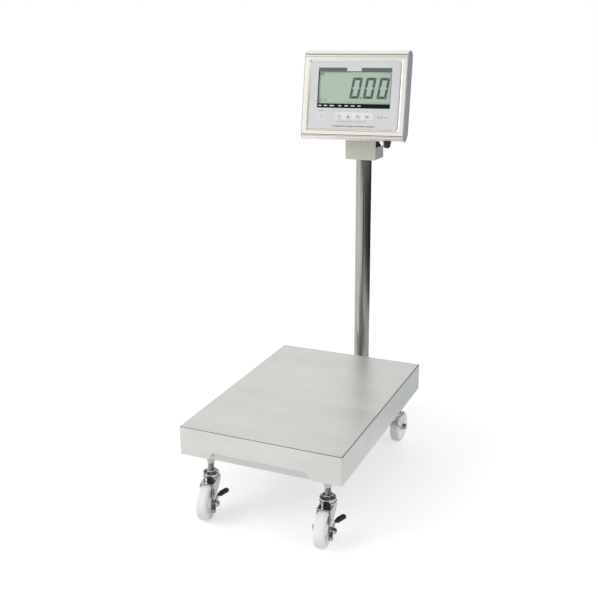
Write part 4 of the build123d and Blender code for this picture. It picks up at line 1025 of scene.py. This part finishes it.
class SCALE_OT_stage(bpy.types.Operator):
    """Set up the camera, the floor, the room, the lamps and the cards"""

    bl_idname = "scale.stage"
    bl_label = "Stage"

    def execute(self, context):
        stage = settings().scale_stage
        scene = context.scene
        scene.view_settings.view_transform = "Standard"
        self.camera(scene, stage)
        self.floor(scene, stage)
        self.room(scene, stage)
        for name, place, size, power, tint in LAMPS:
            self.lamp(scene, name, place, size, getattr(stage, power), tint)
        for name, profile, turn, tone in CARDS:
            self.card(scene, name, profile, turn, getattr(stage, tone))
        return {"FINISHED"}

    def camera(self, scene, stage):
        """Camera of the photograph."""
        data = bpy.data.cameras.new("camera")
        data.lens = stage.lens
        data.sensor_width = 36.0
        data.dof.use_dof = False
        camera = bpy.data.objects.new("camera", data)
        camera.location = stage.camera_place
        camera.rotation_euler = camera_turn(stage.camera_turn)
        scene.collection.objects.link(camera)
        scene.camera = camera

    def stand(self, scene, name, bm, material):
        """An object of the stage from a bmesh."""
        mesh = bpy.data.meshes.new(name)
        bm.to_mesh(mesh)
        bm.free()
        mesh.materials.append(material)
        made = bpy.data.objects.new(name, mesh)
        scene.collection.objects.link(made)
        return made

    def floor(self, scene, stage):
        """Plain pale floor that shows white to the camera and in reflections, and keeps the shadow."""
        material, tree, shader = new_finish("pale_floor")
        cloud = place_noise(tree, PLAIN, 2.0)
        tone = two_tones(tree, cloud, shade(stage.floor_colour, 0.99), shade(stage.floor_colour, 1.01))
        tree.links.new(tone, shader.inputs["Base Color"])
        shader.inputs["Roughness"].default_value = 0.9
        shader.inputs["Specular IOR Level"].default_value = 0.1
        lift = add_node(tree, "ShaderNodeEmission", {"Color": WHITE})
        where = add_node(tree, "ShaderNodeTexCoord")
        far = add_node(tree, "ShaderNodeVectorMath", operation="LENGTH")
        tree.links.new(where.outputs["Object"], far.inputs[0])
        growing = spread(tree, far.outputs["Value"], stage.floor_lift, FAR_LIFT, LIFT_NEAR, LIFT_FAR)
        tree.links.new(self.seen(tree, growing), lift.inputs["Strength"])
        both = add_node(tree, "ShaderNodeAddShader")
        tree.links.new(shader.outputs["BSDF"], both.inputs[0])
        tree.links.new(lift.outputs["Emission"], both.inputs[1])
        tree.links.new(both.outputs["Shader"], tree.nodes["Material Output"].inputs["Surface"])
        bm = bmesh.new()
        bmesh.ops.create_grid(bm, x_segments=1, y_segments=1, size=FLOOR_HALF)
        floor = self.stand(scene, "floor", bm, material)

    def seen(self, tree, strength):
        """Strength where the camera, a reflection or the window looks at it, and nothing for the rest."""
        path = add_node(tree, "ShaderNodeLightPath")
        either = math_node(tree, "MAXIMUM", path.outputs["Is Camera Ray"], path.outputs["Is Glossy Ray"])
        third = math_node(tree, "MAXIMUM", either, path.outputs["Is Transmission Ray"])
        return math_node(tree, "MULTIPLY", third, strength)

    def room(self, scene, stage):
        """Pale room: white where the camera, a reflection or the window looks at it."""
        world = bpy.data.worlds.new("room")
        scene.world = world
        world.use_nodes = True
        tree = world.node_tree
        background = tree.nodes["Background"]
        background.inputs["Color"].default_value = WHITE
        background.inputs["Strength"].default_value = stage.sky
        white = add_node(tree, "ShaderNodeBackground", {"Color": WHITE, "Strength": 1.0})
        mix = add_node(tree, "ShaderNodeMixShader")
        tree.links.new(self.seen(tree, 1.0), mix.inputs["Fac"])
        tree.links.new(background.outputs["Background"], mix.inputs[1])
        tree.links.new(white.outputs["Background"], mix.inputs[2])
        tree.links.new(mix.outputs["Shader"], tree.nodes["World Output"].inputs["Surface"])

    def card(self, scene, name, profile, turn, tone):
        """Curved card spun from its profile, seen only in the gloss of the metal."""
        bm = bmesh.new()
        first, last = (math.radians(angle) for angle in turn)
        across = Vector((math.cos(first), math.sin(first), 0))
        verts = [bm.verts.new(across * radius + Vector((0, 0, height))) for radius, height in profile]
        edges = [bm.edges.new(pair) for pair in zip(verts, verts[1:])]
        bmesh.ops.spin(
            bm, geom=verts + edges, cent=(0, 0, 0), axis=(0, 0, 1), angle=last - first, steps=CARD_STEPS,
            use_merge=False, dvec=(0, 0, 0),
        )
        material, tree, shader = new_finish(name + "_felt")
        grain = place_noise(tree, PLAIN, 3.0)
        felt = two_tones(tree, grain, shade(tone, 0.9), shade(tone, 1.1))
        tree.links.new(felt, shader.inputs["Base Color"])
        shader.inputs["Roughness"].default_value = 0.95
        card = self.stand(scene, name, bm, material)
        for ray in ("camera", "diffuse", "shadow", "transmission"):
            setattr(card, "visible_" + ray, False)

    def lamp(self, scene, name, place, size, power, tint):
        """Large soft lamp aimed at the middle of the object."""
        data = bpy.data.lights.new(name, "AREA")
        data.color = tint
        data.shape = "SQUARE"
        data.size = size
        data.energy = power
        lamp = bpy.data.objects.new(name, data)
        lamp.location = place
        lamp.rotation_euler = (LAMP_AIM - Vector(place)).to_track_quat("-Z", "Y").to_euler()
        scene.collection.objects.link(lamp)


def camera_turn(turn):
    """Euler angles of the camera: tipped down, rolled about its own view line and turned."""
    pitch, roll, yaw = turn
    matrix = Matrix.Rotation(yaw, 3, "Z") @ Matrix.Rotation(pitch, 3, "X") @ Matrix.Rotation(-roll, 3, "Z")
    return matrix.to_euler()


class SCALE_PT_panel(bpy.types.Panel):
    """Sidebar panel that lists the steps and their settings"""

    bl_label = "Platform scale"
    bl_idname = "SCALE_PT_panel"
    bl_space_type = "VIEW_3D"
    bl_region_type = "UI"
    bl_category = "Scale"

    def draw(self, context):
        for step in STEPS:
            self.layout.operator(step.bl_idname)
        for name in GROUPS:
            group = getattr(context.scene, name)
            for item in group.__annotations__:
                self.layout.prop(group, item)


STEPS = (
    SCALE_OT_stage, SCALE_OT_finishes, SCALE_OT_display, SCALE_OT_print, SCALE_OT_head_trim,
    SCALE_OT_column_trim, SCALE_OT_casters,
)
GROUPS = {
    "scale_stage": ScaleStage, "scale_finish": ScaleFinish,
    "scale_display": ScaleDisplay, "scale_caster": ScaleCaster,
}


def register():
    for name, group in GROUPS.items():
        bpy.utils.register_class(group)
        setattr(bpy.types.Scene, name, bpy.props.PointerProperty(type=group))
    for step in STEPS:
        bpy.utils.register_class(step)
    bpy.utils.register_class(SCALE_PT_panel)


def unregister():
    bpy.utils.unregister_class(SCALE_PT_panel)
    for step in reversed(STEPS):
        bpy.utils.unregister_class(step)
    for name, group in GROUPS.items():
        delattr(bpy.types.Scene, name)
        bpy.utils.unregister_class(group)


def main():
    register()
    for step in STEPS:
        category, action = step.bl_idname.split(".")
        getattr(getattr(bpy.ops, category), action)()


if __name__ == "__main__":
    main()
